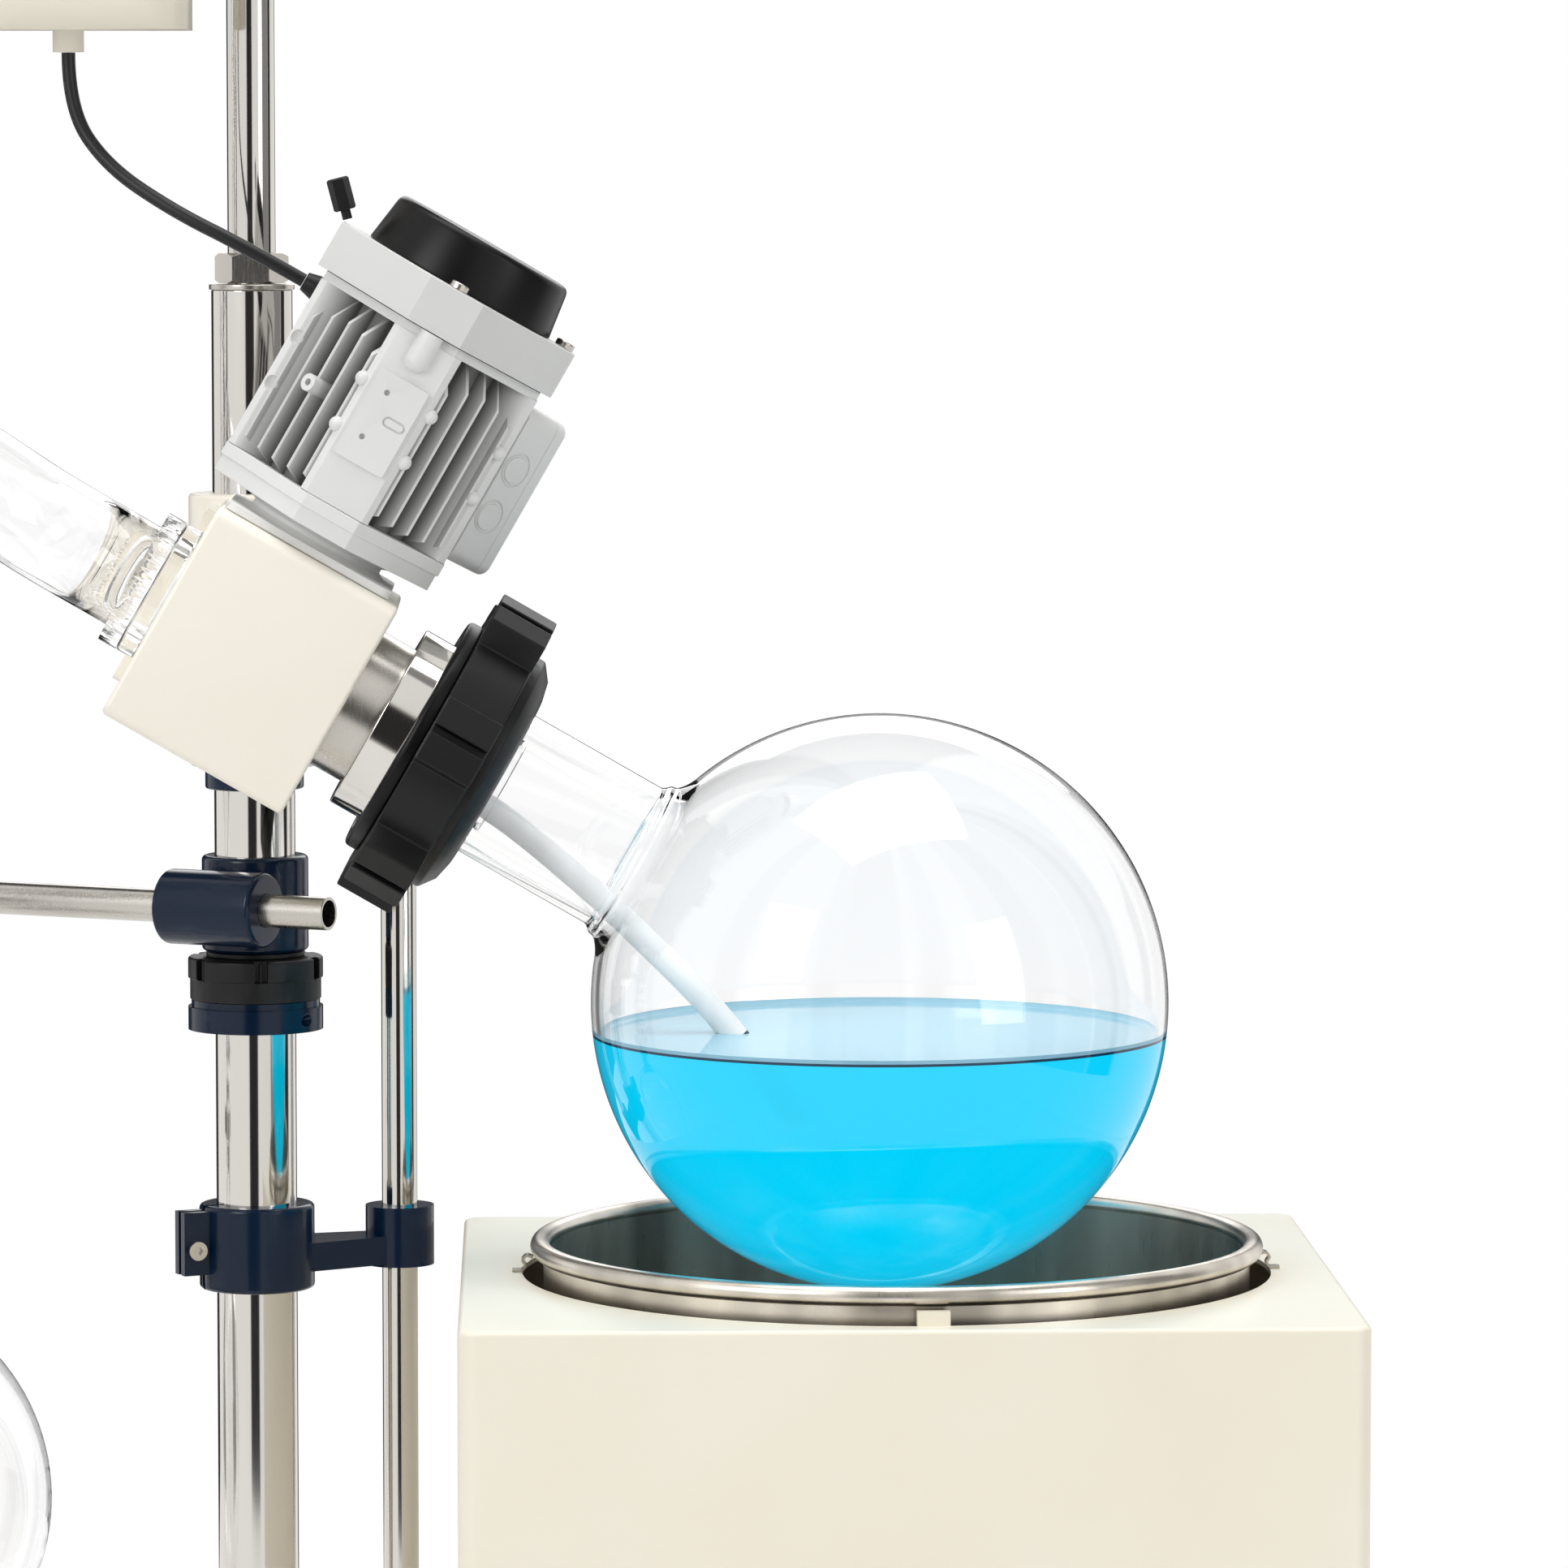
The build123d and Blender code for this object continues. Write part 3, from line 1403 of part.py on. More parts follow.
def grip_knob(spindle):
    """Knob with a skirt and a flat-sided grip, its spindle running back along -Z."""
    body = rod(knob_radius, seat_gap, knob_height / 4)
    body += rod(knob_radius * 0.8, knob_height / 4, knob_height * 0.9)
    body += block(knob_radius * 1.7, knob_radius * 0.45, knob_height / 4, knob_height)
    return body + rod(thumb_stud_radius, -spindle, seat_gap)


def speed_knob():
    place = Pos(control_x, control_y - control_depth / 2, knob_z) * Rot(90, 0, 0)
    return place * grip_knob(2 * cabinet_wall)


def power_switch():
    """Rocker that pivots on a lying axle at the panel."""
    half = switch_height / 2
    profile = make_face(Polyline(
        (-half, -switch_proud),
        (-half, switch_proud),
        (0, switch_proud * 0.6),
        (half, switch_proud * 0.3),
        (half, -switch_proud * 0.6),
        (0, -switch_proud * 2),
        close=True,
    ))
    body = Rot(0, 90, 0) * Pos(0, 0, -switch_width / 2) * extrude(profile, switch_width)
    axle_length = switch_width + 2 * (switch_gap - seat_gap)
    body += Rot(0, 90, 0) * Cylinder(switch_proud * 0.4, axle_length)
    return Pos(control_x, control_y - control_depth / 2, switch_z) * Rot(90, 0, 0) * body


def bath_cabinet():
    """Sheet cabinet round the pot, with the pot's hole in its top and a ring that carries the heater."""
    low = bath_top - cabinet_height
    aside = Pos(cabinet_x - pot_x, 0, 0)
    body = rounded_block(cabinet_length, cabinet_depth, low, bath_top, cabinet_round)
    body = fillet(body.edges().group_by(Axis.Z)[-1], cabinet_wall)
    wall = 2 * cabinet_wall
    inside = rounded_block(
        cabinet_length - wall,
        cabinet_depth - wall,
        low + cabinet_wall,
        bath_top - cabinet_wall,
        cabinet_round - cabinet_wall,
    )
    body = aside * (body - inside)
    body -= rod(pot_outer_radius + pot_hole_gap, bath_top - 2 * cabinet_wall, bath_top + overrun)
    seat = pot_bead_z - pot_depth - heater_height - 2 * seat_gap
    body += ring(heater_outer / 2 + cabinet_wall, heater_outer / 2, low + cabinet_wall, seat)
    knob_hole = Pos(0, -cabinet_depth / 2, bath_knob_z) * Rot(90, 0, 0)
    body -= knob_hole * Cylinder(thumb_stud_radius + running_gap, 3 * cabinet_wall)
    return Pos(pot_x, 0, 0) * body


def bath_pot():
    """Deep-drawn pot with a round bottom corner and a rolled rim."""
    bottom = pot_bead_z - pot_depth
    wall = pot_outer_radius - pot_bore_radius
    outer = fillet(rod(pot_outer_radius, bottom, pot_bead_z).edges().group_by(Axis.Z)[0], pot_corner)
    inner = rod(pot_bore_radius, bottom + wall, pot_bead_z + overrun)
    inner = fillet(inner.edges().group_by(Axis.Z)[0], pot_corner - wall)
    bead = Pos(0, 0, pot_bead_z) * Torus(pot_bore_radius + pot_bead_radius, pot_bead_radius)
    return Pos(pot_x, 0, 0) * (outer + bead - inner)


def bath_heater():
    low = pot_bead_z - pot_depth - heater_height - seat_gap
    body = rounded_ring(heater_outer, heater_inner, low, low + heater_height, heater_height / 3)
    return Pos(pot_x, 0, 0) * body


def pot_clip():
    """Bent strip: a foot on the plate and an upright that stops just outside the rolled rim."""
    near = pot_bore_radius + 2 * pot_bead_radius + seat_gap
    foot_low = bath_top + seat_gap
    out = pot_outer_radius + pot_hole_gap + clip_width
    profile = make_face(Polyline(
        (near, foot_low),
        (out, foot_low),
        (out, foot_low + clip_thickness),
        (near + clip_thickness, foot_low + clip_thickness),
        (near + clip_thickness, pot_bead_z + pot_bead_radius + clip_thickness),
        (near - pot_bead_radius, pot_bead_z + pot_bead_radius + clip_thickness),
        (near - pot_bead_radius, pot_bead_z + pot_bead_radius + seat_gap),
        (near, pot_bead_z + pot_bead_radius + seat_gap),
        close=True,
    ))
    return Plane.XZ * extrude(profile, clip_width / 2, both=True)


def pot_clips():
    clip = pot_clip()
    return Compound([Pos(pot_x, 0, 0) * Rot(0, 0, turn) * clip for turn in clip_turns])


def bath_knob():
    place = Pos(pot_x, -cabinet_depth / 2, bath_knob_z) * Rot(90, 0, 0)
    return place * grip_knob(2 * cabinet_wall)


def square_tube(side, wall, low, high, corner):
    return rounded_block(side, side, low, high, corner) - rounded_block(
        side - 2 * wall, side - 2 * wall, low - overrun, high + overrun, corner - wall
    )


def lift_outer():
    """Fixed square column under the bath, with a welded foot plate."""
    low = base_top + seat_gap
    body = square_tube(lift_side, lift_wall, low, lift_outer_top, lift_corner)
    bore = lift_side - 2 * lift_wall
    plate = rounded_block(lift_side * 1.5, lift_side * 1.5, low, low + lift_plate_height, lift_corner)
    body += plate - block(bore, bore, low - overrun, low + lift_plate_height + overrun)
    return Pos(pot_x, 0, 0) * body


def lift_inner():
    """Sliding square column with the plate that carries the bath."""
    side = lift_side - 2 * lift_wall - 2 * lift_glide
    top = bath_top - cabinet_height - seat_gap
    plate_low = top - lift_plate_height
    tube_low = base_top + lift_plate_height + seat_gap
    body = square_tube(side, lift_wall, tube_low, plate_low, lift_corner - lift_wall - lift_glide)
    body += rounded_block(lift_plate_side, lift_plate_side, plate_low, top, lift_corner)
    return Pos(pot_x, 0, 0) * body


pieces = [
    base_frame, levelling_feet, foot_flanges, column, column_cap, column_nut, upper_tube, guide_rod, brace,
    machine_screws, stop_ring, lock_nut, thrust_ring, swivel_boss, cross_tube, head_bush,
    gearbox_housing, rear_bracket, hollow_shaft, shaft_bearings, vapour_seal, bevel_gear, drive_pinion,
    motor_adapter, end_shield, stator_housing, fan_cover, motor_fan, motor_cap, terminal_box, terminal_lid,
    knockout_plugs, thumb_knob, cord_gland, motor_cord, evaporating_flask, liquid, feed_tube, vapour_duct,
    polished_ring, nut_back_ring, coupling_nut, condenser_jacket, vapour_manifold, condenser_coil,
    drain_valve, valve_key, receiving_flask, flask_clamp, tube_clamps, control_box, speed_knob,
    power_switch, bath_cabinet, bath_pot, bath_heater, pot_clips, bath_knob, lift_outer, lift_inner,
]

for piece in pieces:
    save(piece.__name__, piece())
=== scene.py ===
import bpy
import bmesh
import json
import numpy as np
from math import cos, pi, radians, sin, sqrt
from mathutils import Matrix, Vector

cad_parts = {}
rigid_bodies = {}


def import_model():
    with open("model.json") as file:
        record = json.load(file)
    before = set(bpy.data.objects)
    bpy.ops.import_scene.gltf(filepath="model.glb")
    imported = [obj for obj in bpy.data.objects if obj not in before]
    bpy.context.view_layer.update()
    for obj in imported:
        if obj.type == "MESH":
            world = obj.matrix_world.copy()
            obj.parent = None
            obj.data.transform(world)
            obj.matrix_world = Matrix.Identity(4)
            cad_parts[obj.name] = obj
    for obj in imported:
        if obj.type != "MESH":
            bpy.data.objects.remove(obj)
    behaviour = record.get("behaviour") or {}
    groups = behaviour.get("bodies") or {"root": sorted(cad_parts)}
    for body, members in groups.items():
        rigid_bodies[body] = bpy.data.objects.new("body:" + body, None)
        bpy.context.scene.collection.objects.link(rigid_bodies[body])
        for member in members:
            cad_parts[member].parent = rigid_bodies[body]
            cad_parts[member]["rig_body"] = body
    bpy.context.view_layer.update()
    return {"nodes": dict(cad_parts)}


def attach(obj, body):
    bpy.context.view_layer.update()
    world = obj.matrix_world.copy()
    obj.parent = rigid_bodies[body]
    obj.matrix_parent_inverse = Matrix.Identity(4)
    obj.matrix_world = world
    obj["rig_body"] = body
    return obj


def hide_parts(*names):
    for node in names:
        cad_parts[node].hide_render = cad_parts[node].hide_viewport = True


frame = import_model()
mm = 0.001

# A large rotary evaporator. Every length in the dictionaries is in millimetres.
# The flask and the head share one inclined axis, and the motor stands square to it.
axes = {
    "tilt": radians(30),
    "flaskCentre": (261.5, 0.0, 965.6),
    "waterDrop": 19.0,         # from the flask's centre down to the water
    "motorAlong": -440.3,      # from the flask's centre back to the motor's axis
    "pot": (272.0, 0.0, 0.0),
    "column": (-125.8, 150.0, 0.0),
    "rod": (-36.3, 190.0, 0.0),
}
axisDown = np.array([cos(axes["tilt"]), 0.0, -sin(axes["tilt"])])   # from the head to the flask
axisUp = np.array([sin(axes["tilt"]), 0.0, cos(axes["tilt"])])      # square to it, up along the motor
motorOrigin = np.array(axes["flaskCentre"]) + axisDown * axes["motorAlong"]
worldX, worldY, worldZ = np.eye(3)


# point = origin + x across + y side + z along, for a whole array at once, in metres
def place(points, origin, across, side, along):
    points = np.asarray(points, float)
    spread = points[..., :1] * across + points[..., 1:2] * side + points[..., 2:3] * along
    return (np.asarray(origin, float) + spread) * mm


def onFlaskAxis(points):
    return place(points, axes["flaskCentre"], axisUp, -worldY, axisDown)


def onMotorAxis(points):
    return place(points, motorOrigin, axisDown, worldY, axisUp)


# gives a placer for a piece that stands upright at a named place
def standingAt(name):
    return lambda points: place(points, axes[name], worldX, worldY, worldZ)


# Surfaces on a grid of two parameters

surface = {
    "halfSide": 0.48,          # how much of a side one corner's round may take, so that two rounds never meet
    "leastLength": 1e-9,       # keeps a side of no length from dividing by nothing
    "sameSpot": 1e-3,          # points of a line closer than this are one, in millimetres
    "merge": 1e-6,             # the same for the scene's own surfaces, in metres
    "mergeFacets": 5e-6,       # and for the CAD's facets
    "flatWithin": 0.4,         # degrees between two facets of one flat face
}


# the quad at (i, j) joins that point to the next one along each parameter, and wraps where the surface closes
def gridFaces(rows, columns, wrapRows, wrapColumns):
    i, j = np.meshgrid(np.arange(rows - (not wrapRows)), np.arange(columns - (not wrapColumns)), indexing="ij")
    i, j = i.ravel(), j.ravel()
    nextI, nextJ = (i + 1) % rows, (j + 1) % columns
    return np.stack([i * columns + j, nextI * columns + j, nextI * columns + nextJ, i * columns + nextJ], 1)


# each corner turns into the curve (1-t)^2 A + 2t(1-t) corner + t^2 B, where A and B lie an edge away on its sides
def rounded(corners, edge, closed=True, steps=6):
    corner = np.asarray(corners, float)
    edge = np.broadcast_to(np.asarray(edge, float), len(corner)).copy()
    if not closed:
        edge[[0, -1]] = 0
    toBefore, toAfter = np.roll(corner, 1, 0) - corner, np.roll(corner, -1, 0) - corner
    beforeLength = np.maximum(np.linalg.norm(toBefore, axis=1), surface["leastLength"])
    afterLength = np.maximum(np.linalg.norm(toAfter, axis=1), surface["leastLength"])
    reach = np.minimum(edge, surface["halfSide"] * np.minimum(beforeLength, afterLength))
    start = corner + toBefore * (reach / beforeLength)[:, None]
    end = corner + toAfter * (reach / afterLength)[:, None]
    t = np.linspace(0, 1, steps)[None, :, None]
    curve = (1 - t) ** 2 * start[:, None] + 2 * t * (1 - t) * corner[:, None] + t ** 2 * end[:, None]
    return curve.reshape(-1, corner.shape[1])


def withoutRepeats(line):
    steps = np.linalg.norm(np.diff(line, axis=0), axis=1)
    return line[np.concatenate([[True], steps > surface["sameSpot"]])]


# the profile of a plain ring or rod, as (radius, height) corners
def band(inner, outer, low, high):
    return [(inner, low), (outer, low), (outer, high), (inner, high)]


# a profile of (radius, height) corners turned about the placer's axis: x = r cos(turn), y = r sin(turn)
def turned(corners, placer, edge=0.8, closed=True, around=144, steps=6):
    profile = rounded(corners, edge, closed, steps)
    turn = np.linspace(0, 2 * pi, around, endpoint=False)
    radius, height = profile[:, :1], profile[:, 1:]
    points = np.stack([radius * np.cos(turn), radius * np.sin(turn), height + 0 * turn], -1)
    return placer(points).reshape(-1, 3), gridFaces(len(profile), around, closed, True)


# a hose with a bore: circles carried out along a path for the outer skin and back for the inner one, where
# point = path + radius (cos(turn) side + sin(turn) other), with side and other square to the path
def hoseAlong(path, radius, bore, up, around=48):
    tangent = np.gradient(path, axis=0)
    side = np.cross(tangent, up)
    side /= np.linalg.norm(side, axis=1, keepdims=True)
    other = np.cross(side, tangent)
    other /= np.linalg.norm(other, axis=1, keepdims=True)
    turn = np.linspace(0, 2 * pi, around, endpoint=False)[None, :, None]
    circle = np.cos(turn) * side[:, None] + np.sin(turn) * other[:, None]
    points = np.concatenate([path[:, None] + radius * circle, (path[:, None] + bore * circle)[::-1]])
    return points.reshape(-1, 3) * mm, gridFaces(2 * len(path), around, True, True)


def together(*surfaces):
    points, faces, count = [], [], 0
    for somePoints, someFaces in surfaces:
        points.append(somePoints)
        faces.append(someFaces + count)
        count += len(somePoints)
    return np.concatenate(points), np.concatenate(faces)


# a shape is inside out when the volumes of the tetrahedra from its middle to its faces sum to less than nothing
def facingOut(points, faces):
    corner = points[faces] - points.mean(0)
    first = np.einsum("ij,ij->i", corner[:, 0], np.cross(corner[:, 1], corner[:, 2]))
    second = np.einsum("ij,ij->i", corner[:, 0], np.cross(corner[:, 2], corner[:, 3]))
    return faces if (first + second).sum() > 0 else faces[:, ::-1]


def finished(mesh, name, material, body, replaced, sharp):
    mesh.shade_smooth()
    mesh.set_sharp_from_angle(angle=radians(sharp))
    mesh.materials.clear()
    mesh.materials.append(material)
    piece = bpy.data.objects.new(name, mesh)
    bpy.context.scene.collection.objects.link(piece)
    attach(piece, body)
    if replaced:
        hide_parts(*replaced)
    return piece


# puts one surface, or several that are each closed, into a mesh, with poles and seams merged
def newPiece(name, surfaces, material, body, slot, *replaced, sharp=32):
    surfaces = [surfaces] if isinstance(surfaces, tuple) else surfaces
    points, faces = together(*[(points, facingOut(points, faces)) for points, faces in surfaces])
    mesh = bpy.data.meshes.new(name)
    mesh.from_pydata(points.tolist(), [], faces.tolist())
    work = bmesh.new()
    work.from_mesh(mesh)
    bmesh.ops.remove_doubles(work, verts=work.verts, dist=surface["merge"])
    work.to_mesh(mesh)
    work.free()
    finished(mesh, name, material, body, replaced, sharp)


# a merged copy of a CAD piece; with an edge, its flat faces are made whole and its edges get that small round
def softened(node, material, slot, edge=0.8, sharp=35, segments=3):
    source = frame["nodes"][node]
    mesh = source.data.copy()
    work = bmesh.new()
    work.from_mesh(mesh)
    bmesh.ops.remove_doubles(work, verts=work.verts, dist=surface["mergeFacets"])
    if edge:      # flat faces become one again, so the rounding follows real edges only
        flat = radians(surface["flatWithin"])
        bmesh.ops.dissolve_limit(work, angle_limit=flat, verts=work.verts, edges=work.edges)
    work.to_mesh(mesh)
    work.free()
    piece = finished(mesh, node + "Finished", material, source["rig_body"], (node,), sharp)
    if edge:
        bevel = piece.modifiers.new("edgeRound", "BEVEL")
        bevel.width = edge * mm
        bevel.segments = segments
        bevel.limit_method = "ANGLE"
        bevel.angle_limit = radians(sharp)
        bevel.use_clamp_overlap = True
        bevel.harden_normals = True


# Nodes and colours

# sRGB hex to linear, each channel through the sRGB curve
def linear(hexText):
    channels = np.array([int(hexText[i:i + 2], 16) for i in (0, 2, 4)]) / 255
    low = channels / 12.92
    high = ((channels + 0.055) / 1.055) ** 2.4
    return tuple(np.where(channels <= 0.04045, low, high)) + (1.0,)


def dimmed(hexText, share):
    red, green, blue, alpha = linear(hexText)
    return (red * share, green * share, blue * share, alpha)


# adds a node, sets its properties, and gives each input a value or a link
def addNode(tree, kind, inputs=None, **settings):
    node = tree.nodes.new(kind)
    for key, value in settings.items():
        setattr(node, key, value)
    for key, value in (inputs or {}).items():
        if isinstance(value, bpy.types.NodeSocket):
            tree.links.new(value, node.inputs[key])
        else:
            node.inputs[key].default_value = value
    return node


def startMaterial(name):
    material = bpy.data.materials.new(name)
    material.use_nodes = True
    tree = material.node_tree
    tree.nodes.clear()
    output = addNode(tree, "ShaderNodeOutputMaterial")
    spot = addNode(tree, "ShaderNodeTexCoord").outputs["Object"]
    return material, tree, output, spot


def rampStops(node, places, colours):
    elements = node.color_ramp.elements
    while len(elements) < len(places):
        elements.new(0.5)
    for element, position, colour in zip(elements, places, colours):
        element.position = position
        element.color = colour
    return node


# Materials, each from the real one and how its surface was made
# Sizes and heights are in millimetres. A bump's share is its strength, and stops are where a ramp of shades begins
# and ends in the noise that drives it.

paint = {"peelSize": 2.2, "peelHeight": 0.035, "peelShare": 0.5, "grainShare": 0.6, "driftSize": 160.0,
         "stops": (0.3, 0.7), "roughSpread": (-0.04, 0.05), "coatRough": 0.12}
moulding = {"textureShare": 0.6, "flowScale": 9.0, "flowTwist": 1.5, "stops": (0.35, 0.7), "shades": (0.85, 1.1),
            "roughSpread": (-0.05, 0.06)}
working = {"lineShare": 0.4, "cloudScale": 14.0, "stops": (0.38, 0.62), "roughShares": (0.7, 1.4)}
glassMaking = {"waveScale": 11.0, "waveHeight": 0.6, "waveShare": 0.25, "bending": 1.47, "shadowShare": 0.97,
               "mirrorDry": 0.5, "mirrorWet": 0.08, "wetEdge": 1.0}
dyeing = {"driftScale": 3.0, "stops": (0.3, 0.7), "dimShare": 0.97, "bending": 1.33, "mirror": 0.05}


# painted shade between the motor's fins: darker the nearer to the barrel, measured square to the slanting faces that
# carry the fins, and only as far to the side as the fins go
def shadeBetweenFins(tree, spot, colour, gapShade):
    away = addNode(tree, "ShaderNodeVectorMath", {0: spot, 1: motorOrigin * mm}, operation="SUBTRACT")
    reach = []
    for side in (1, -1):
        slant = (axisDown + side * worldY) / sqrt(2)
        along = addNode(tree, "ShaderNodeVectorMath", {0: away.outputs["Vector"], 1: slant},
                        operation="DOT_PRODUCT")
        reach.append(addNode(tree, "ShaderNodeMath", {0: along.outputs["Value"]}, operation="ABSOLUTE").outputs[0])
    out = addNode(tree, "ShaderNodeMath", {0: reach[0], 1: reach[1]}, operation="MAXIMUM")
    aside = addNode(tree, "ShaderNodeMath", {0: reach[0], 1: reach[1]}, operation="MINIMUM")
    deep = addNode(tree, "ShaderNodeMapRange", {
        "Value": out.outputs[0], "From Min": gapShade["root"] * mm, "From Max": gapShade["tip"] * mm,
        "To Min": gapShade["amount"], "To Max": 0.0})
    amongFins = addNode(tree, "ShaderNodeMapRange", {
        "Value": aside.outputs[0], "From Min": gapShade["finsTo"] * mm,
        "From Max": (gapShade["finsTo"] + gapShade["fade"]) * mm, "To Min": 1.0, "To Max": 0.0})
    share = addNode(tree, "ShaderNodeMath", {0: deep.outputs["Result"], 1: amongFins.outputs["Result"]},
                    operation="MULTIPLY")
    # a colour mix has its share at socket 0 and its two colours at 6 and 7
    mix = addNode(tree, "ShaderNodeMix", {0: share.outputs[0], 6: colour, 7: linear(gapShade["colour"])},
                  data_type="RGBA")
    return mix.outputs[2]


# sprayed paint: orange peel, a slow drift of shade, and under it the grain of a casting if it has one
def paintedSurface(name, hexText, shade, rough, coat, castSize=0.0, castHeight=0.0, mirror=0.5, gapShade=None):
    material, tree, output, spot = startMaterial(name)
    drift = addNode(tree, "ShaderNodeTexNoise",
                    {"Vector": spot, "Scale": 1000 / paint["driftSize"], "Detail": 2.0})
    colour = rampStops(addNode(tree, "ShaderNodeValToRGB", {"Fac": drift.outputs["Fac"]}),
                       paint["stops"], (linear(shade), linear(hexText))).outputs["Color"]
    # painted shade in the gaps between the motor's fins, where it is asked for
    if gapShade:
        colour = shadeBetweenFins(tree, spot, colour, gapShade)
    peel = addNode(tree, "ShaderNodeTexNoise", {"Vector": spot, "Scale": 1000 / paint["peelSize"], "Detail": 2.0})
    bump = addNode(tree, "ShaderNodeBump", {"Height": peel.outputs["Fac"], "Distance": paint["peelHeight"] * mm,
                                            "Strength": paint["peelShare"]})
    if castSize:
        grain = addNode(tree, "ShaderNodeTexNoise", {"Vector": spot, "Scale": 1000 / castSize, "Detail": 4.0})
        bump = addNode(tree, "ShaderNodeBump", {
            "Height": grain.outputs["Fac"], "Distance": castHeight * mm, "Strength": paint["grainShare"],
            "Normal": bump.outputs["Normal"]})
    less, more = paint["roughSpread"]
    roughMap = addNode(tree, "ShaderNodeMapRange",
                       {"Value": drift.outputs["Fac"], "To Min": rough + less, "To Max": rough + more})
    shader = addNode(tree, "ShaderNodeBsdfPrincipled", {
        "Base Color": colour, "Roughness": roughMap.outputs["Result"], "Specular IOR Level": mirror,
        "Coat Weight": coat, "Coat Roughness": paint["coatRough"], "Normal": bump.outputs["Normal"]})
    tree.links.new(shader.outputs[0], output.inputs["Surface"])
    return material


# injection-moulded plastic: the spark-eroded texture of the mould, and faint flow marks in the gloss
def mouldedPlastic(name, hexText, rough, textureSize, textureHeight, mirror=0.5):
    material, tree, output, spot = startMaterial(name)
    erosion = addNode(tree, "ShaderNodeTexNoise", {"Vector": spot, "Scale": 1000 / textureSize, "Detail": 3.0})
    flow = addNode(tree, "ShaderNodeTexNoise", {
        "Vector": spot, "Scale": moulding["flowScale"], "Detail": 1.0, "Distortion": moulding["flowTwist"]})
    bump = addNode(tree, "ShaderNodeBump", {
        "Height": erosion.outputs["Fac"], "Distance": textureHeight * mm, "Strength": moulding["textureShare"]})
    less, more = moulding["roughSpread"]
    roughMap = addNode(tree, "ShaderNodeMapRange",
                       {"Value": flow.outputs["Fac"], "To Min": rough + less, "To Max": rough + more})
    colour = rampStops(addNode(tree, "ShaderNodeValToRGB", {"Fac": flow.outputs["Fac"]}),
                       moulding["stops"], [dimmed(hexText, shade) for shade in moulding["shades"]])
    shader = addNode(tree, "ShaderNodeBsdfPrincipled", {
        "Base Color": colour.outputs["Color"], "Roughness": roughMap.outputs["Result"],
        "Specular IOR Level": mirror, "Normal": bump.outputs["Normal"]})
    tree.links.new(shader.outputs[0], output.inputs["Surface"])
    return material


# stainless steel: fine lines left by the belt or the lathe, long one way and lineSize apart across
def workedSteel(name, hexText, rough, lineSize, stretch, lineHeight, turn=(0.0, 0.0, 0.0), streak=0.9):
    material, tree, output, spot = startMaterial(name)
    mapping = addNode(tree, "ShaderNodeMapping", {"Vector": spot, "Rotation": turn, "Scale": stretch})
    lines = addNode(tree, "ShaderNodeTexNoise",
                    {"Vector": mapping.outputs["Vector"], "Scale": 1000 / lineSize, "Detail": 3.0})
    cloud = addNode(tree, "ShaderNodeTexNoise",
                    {"Vector": mapping.outputs["Vector"], "Scale": working["cloudScale"], "Detail": 2.0})
    colour = rampStops(addNode(tree, "ShaderNodeValToRGB", {"Fac": cloud.outputs["Fac"]}),
                       working["stops"], (dimmed(hexText, streak), linear(hexText)))
    smoother, rougher = working["roughShares"]
    roughMap = addNode(tree, "ShaderNodeMapRange",
                       {"Value": lines.outputs["Fac"], "To Min": rough * smoother, "To Max": rough * rougher})
    bump = addNode(tree, "ShaderNodeBump", {
        "Height": lines.outputs["Fac"], "Distance": lineHeight * mm, "Strength": working["lineShare"]})
    shader = addNode(tree, "ShaderNodeBsdfPrincipled", {
        "Base Color": colour.outputs["Color"], "Metallic": 1.0,
        "Roughness": roughMap.outputs["Result"], "Normal": bump.outputs["Normal"]})
    tree.links.new(shader.outputs[0], output.inputs["Surface"])
    return material


# borosilicate, blown and fire-polished: clear, with very slow waves, and it lets the lamps through to what it
# holds. Below the water's height it mirrors far less, because there is water behind it and not air.
def blownGlass(name, hexText, wetBelow=None):
    material, tree, output, spot = startMaterial(name)
    wave = addNode(tree, "ShaderNodeTexNoise", {"Vector": spot, "Scale": glassMaking["waveScale"], "Detail": 1.0})
    bump = addNode(tree, "ShaderNodeBump", {
        "Height": wave.outputs["Fac"], "Distance": glassMaking["waveHeight"] * mm,
        "Strength": glassMaking["waveShare"]})
    shader = addNode(tree, "ShaderNodeBsdfPrincipled", {
        "Base Color": linear(hexText), "Roughness": 0.0, "IOR": glassMaking["bending"],
        "Transmission Weight": 1.0, "Normal": bump.outputs["Normal"]})
    if wetBelow:
        point = addNode(tree, "ShaderNodeNewGeometry").outputs["Position"]
        height = addNode(tree, "ShaderNodeSeparateXYZ", {"Vector": point})
        wetted = addNode(tree, "ShaderNodeMapRange", {
            "Value": height.outputs["Z"], "From Min": (wetBelow - glassMaking["wetEdge"]) * mm,
            "From Max": wetBelow * mm, "To Min": glassMaking["mirrorWet"], "To Max": glassMaking["mirrorDry"]})
        tree.links.new(wetted.outputs["Result"], shader.inputs["Specular IOR Level"])
    clear = addNode(tree, "ShaderNodeBsdfTransparent", {"Color": dimmed(hexText, glassMaking["shadowShare"])})
    rays = addNode(tree, "ShaderNodeLightPath")
    mix = addNode(tree, "ShaderNodeMixShader",
                  {0: rays.outputs["Is Shadow Ray"], 1: shader.outputs[0], 2: clear.outputs[0]})
    tree.links.new(mix.outputs[0], output.inputs["Surface"])
    return material
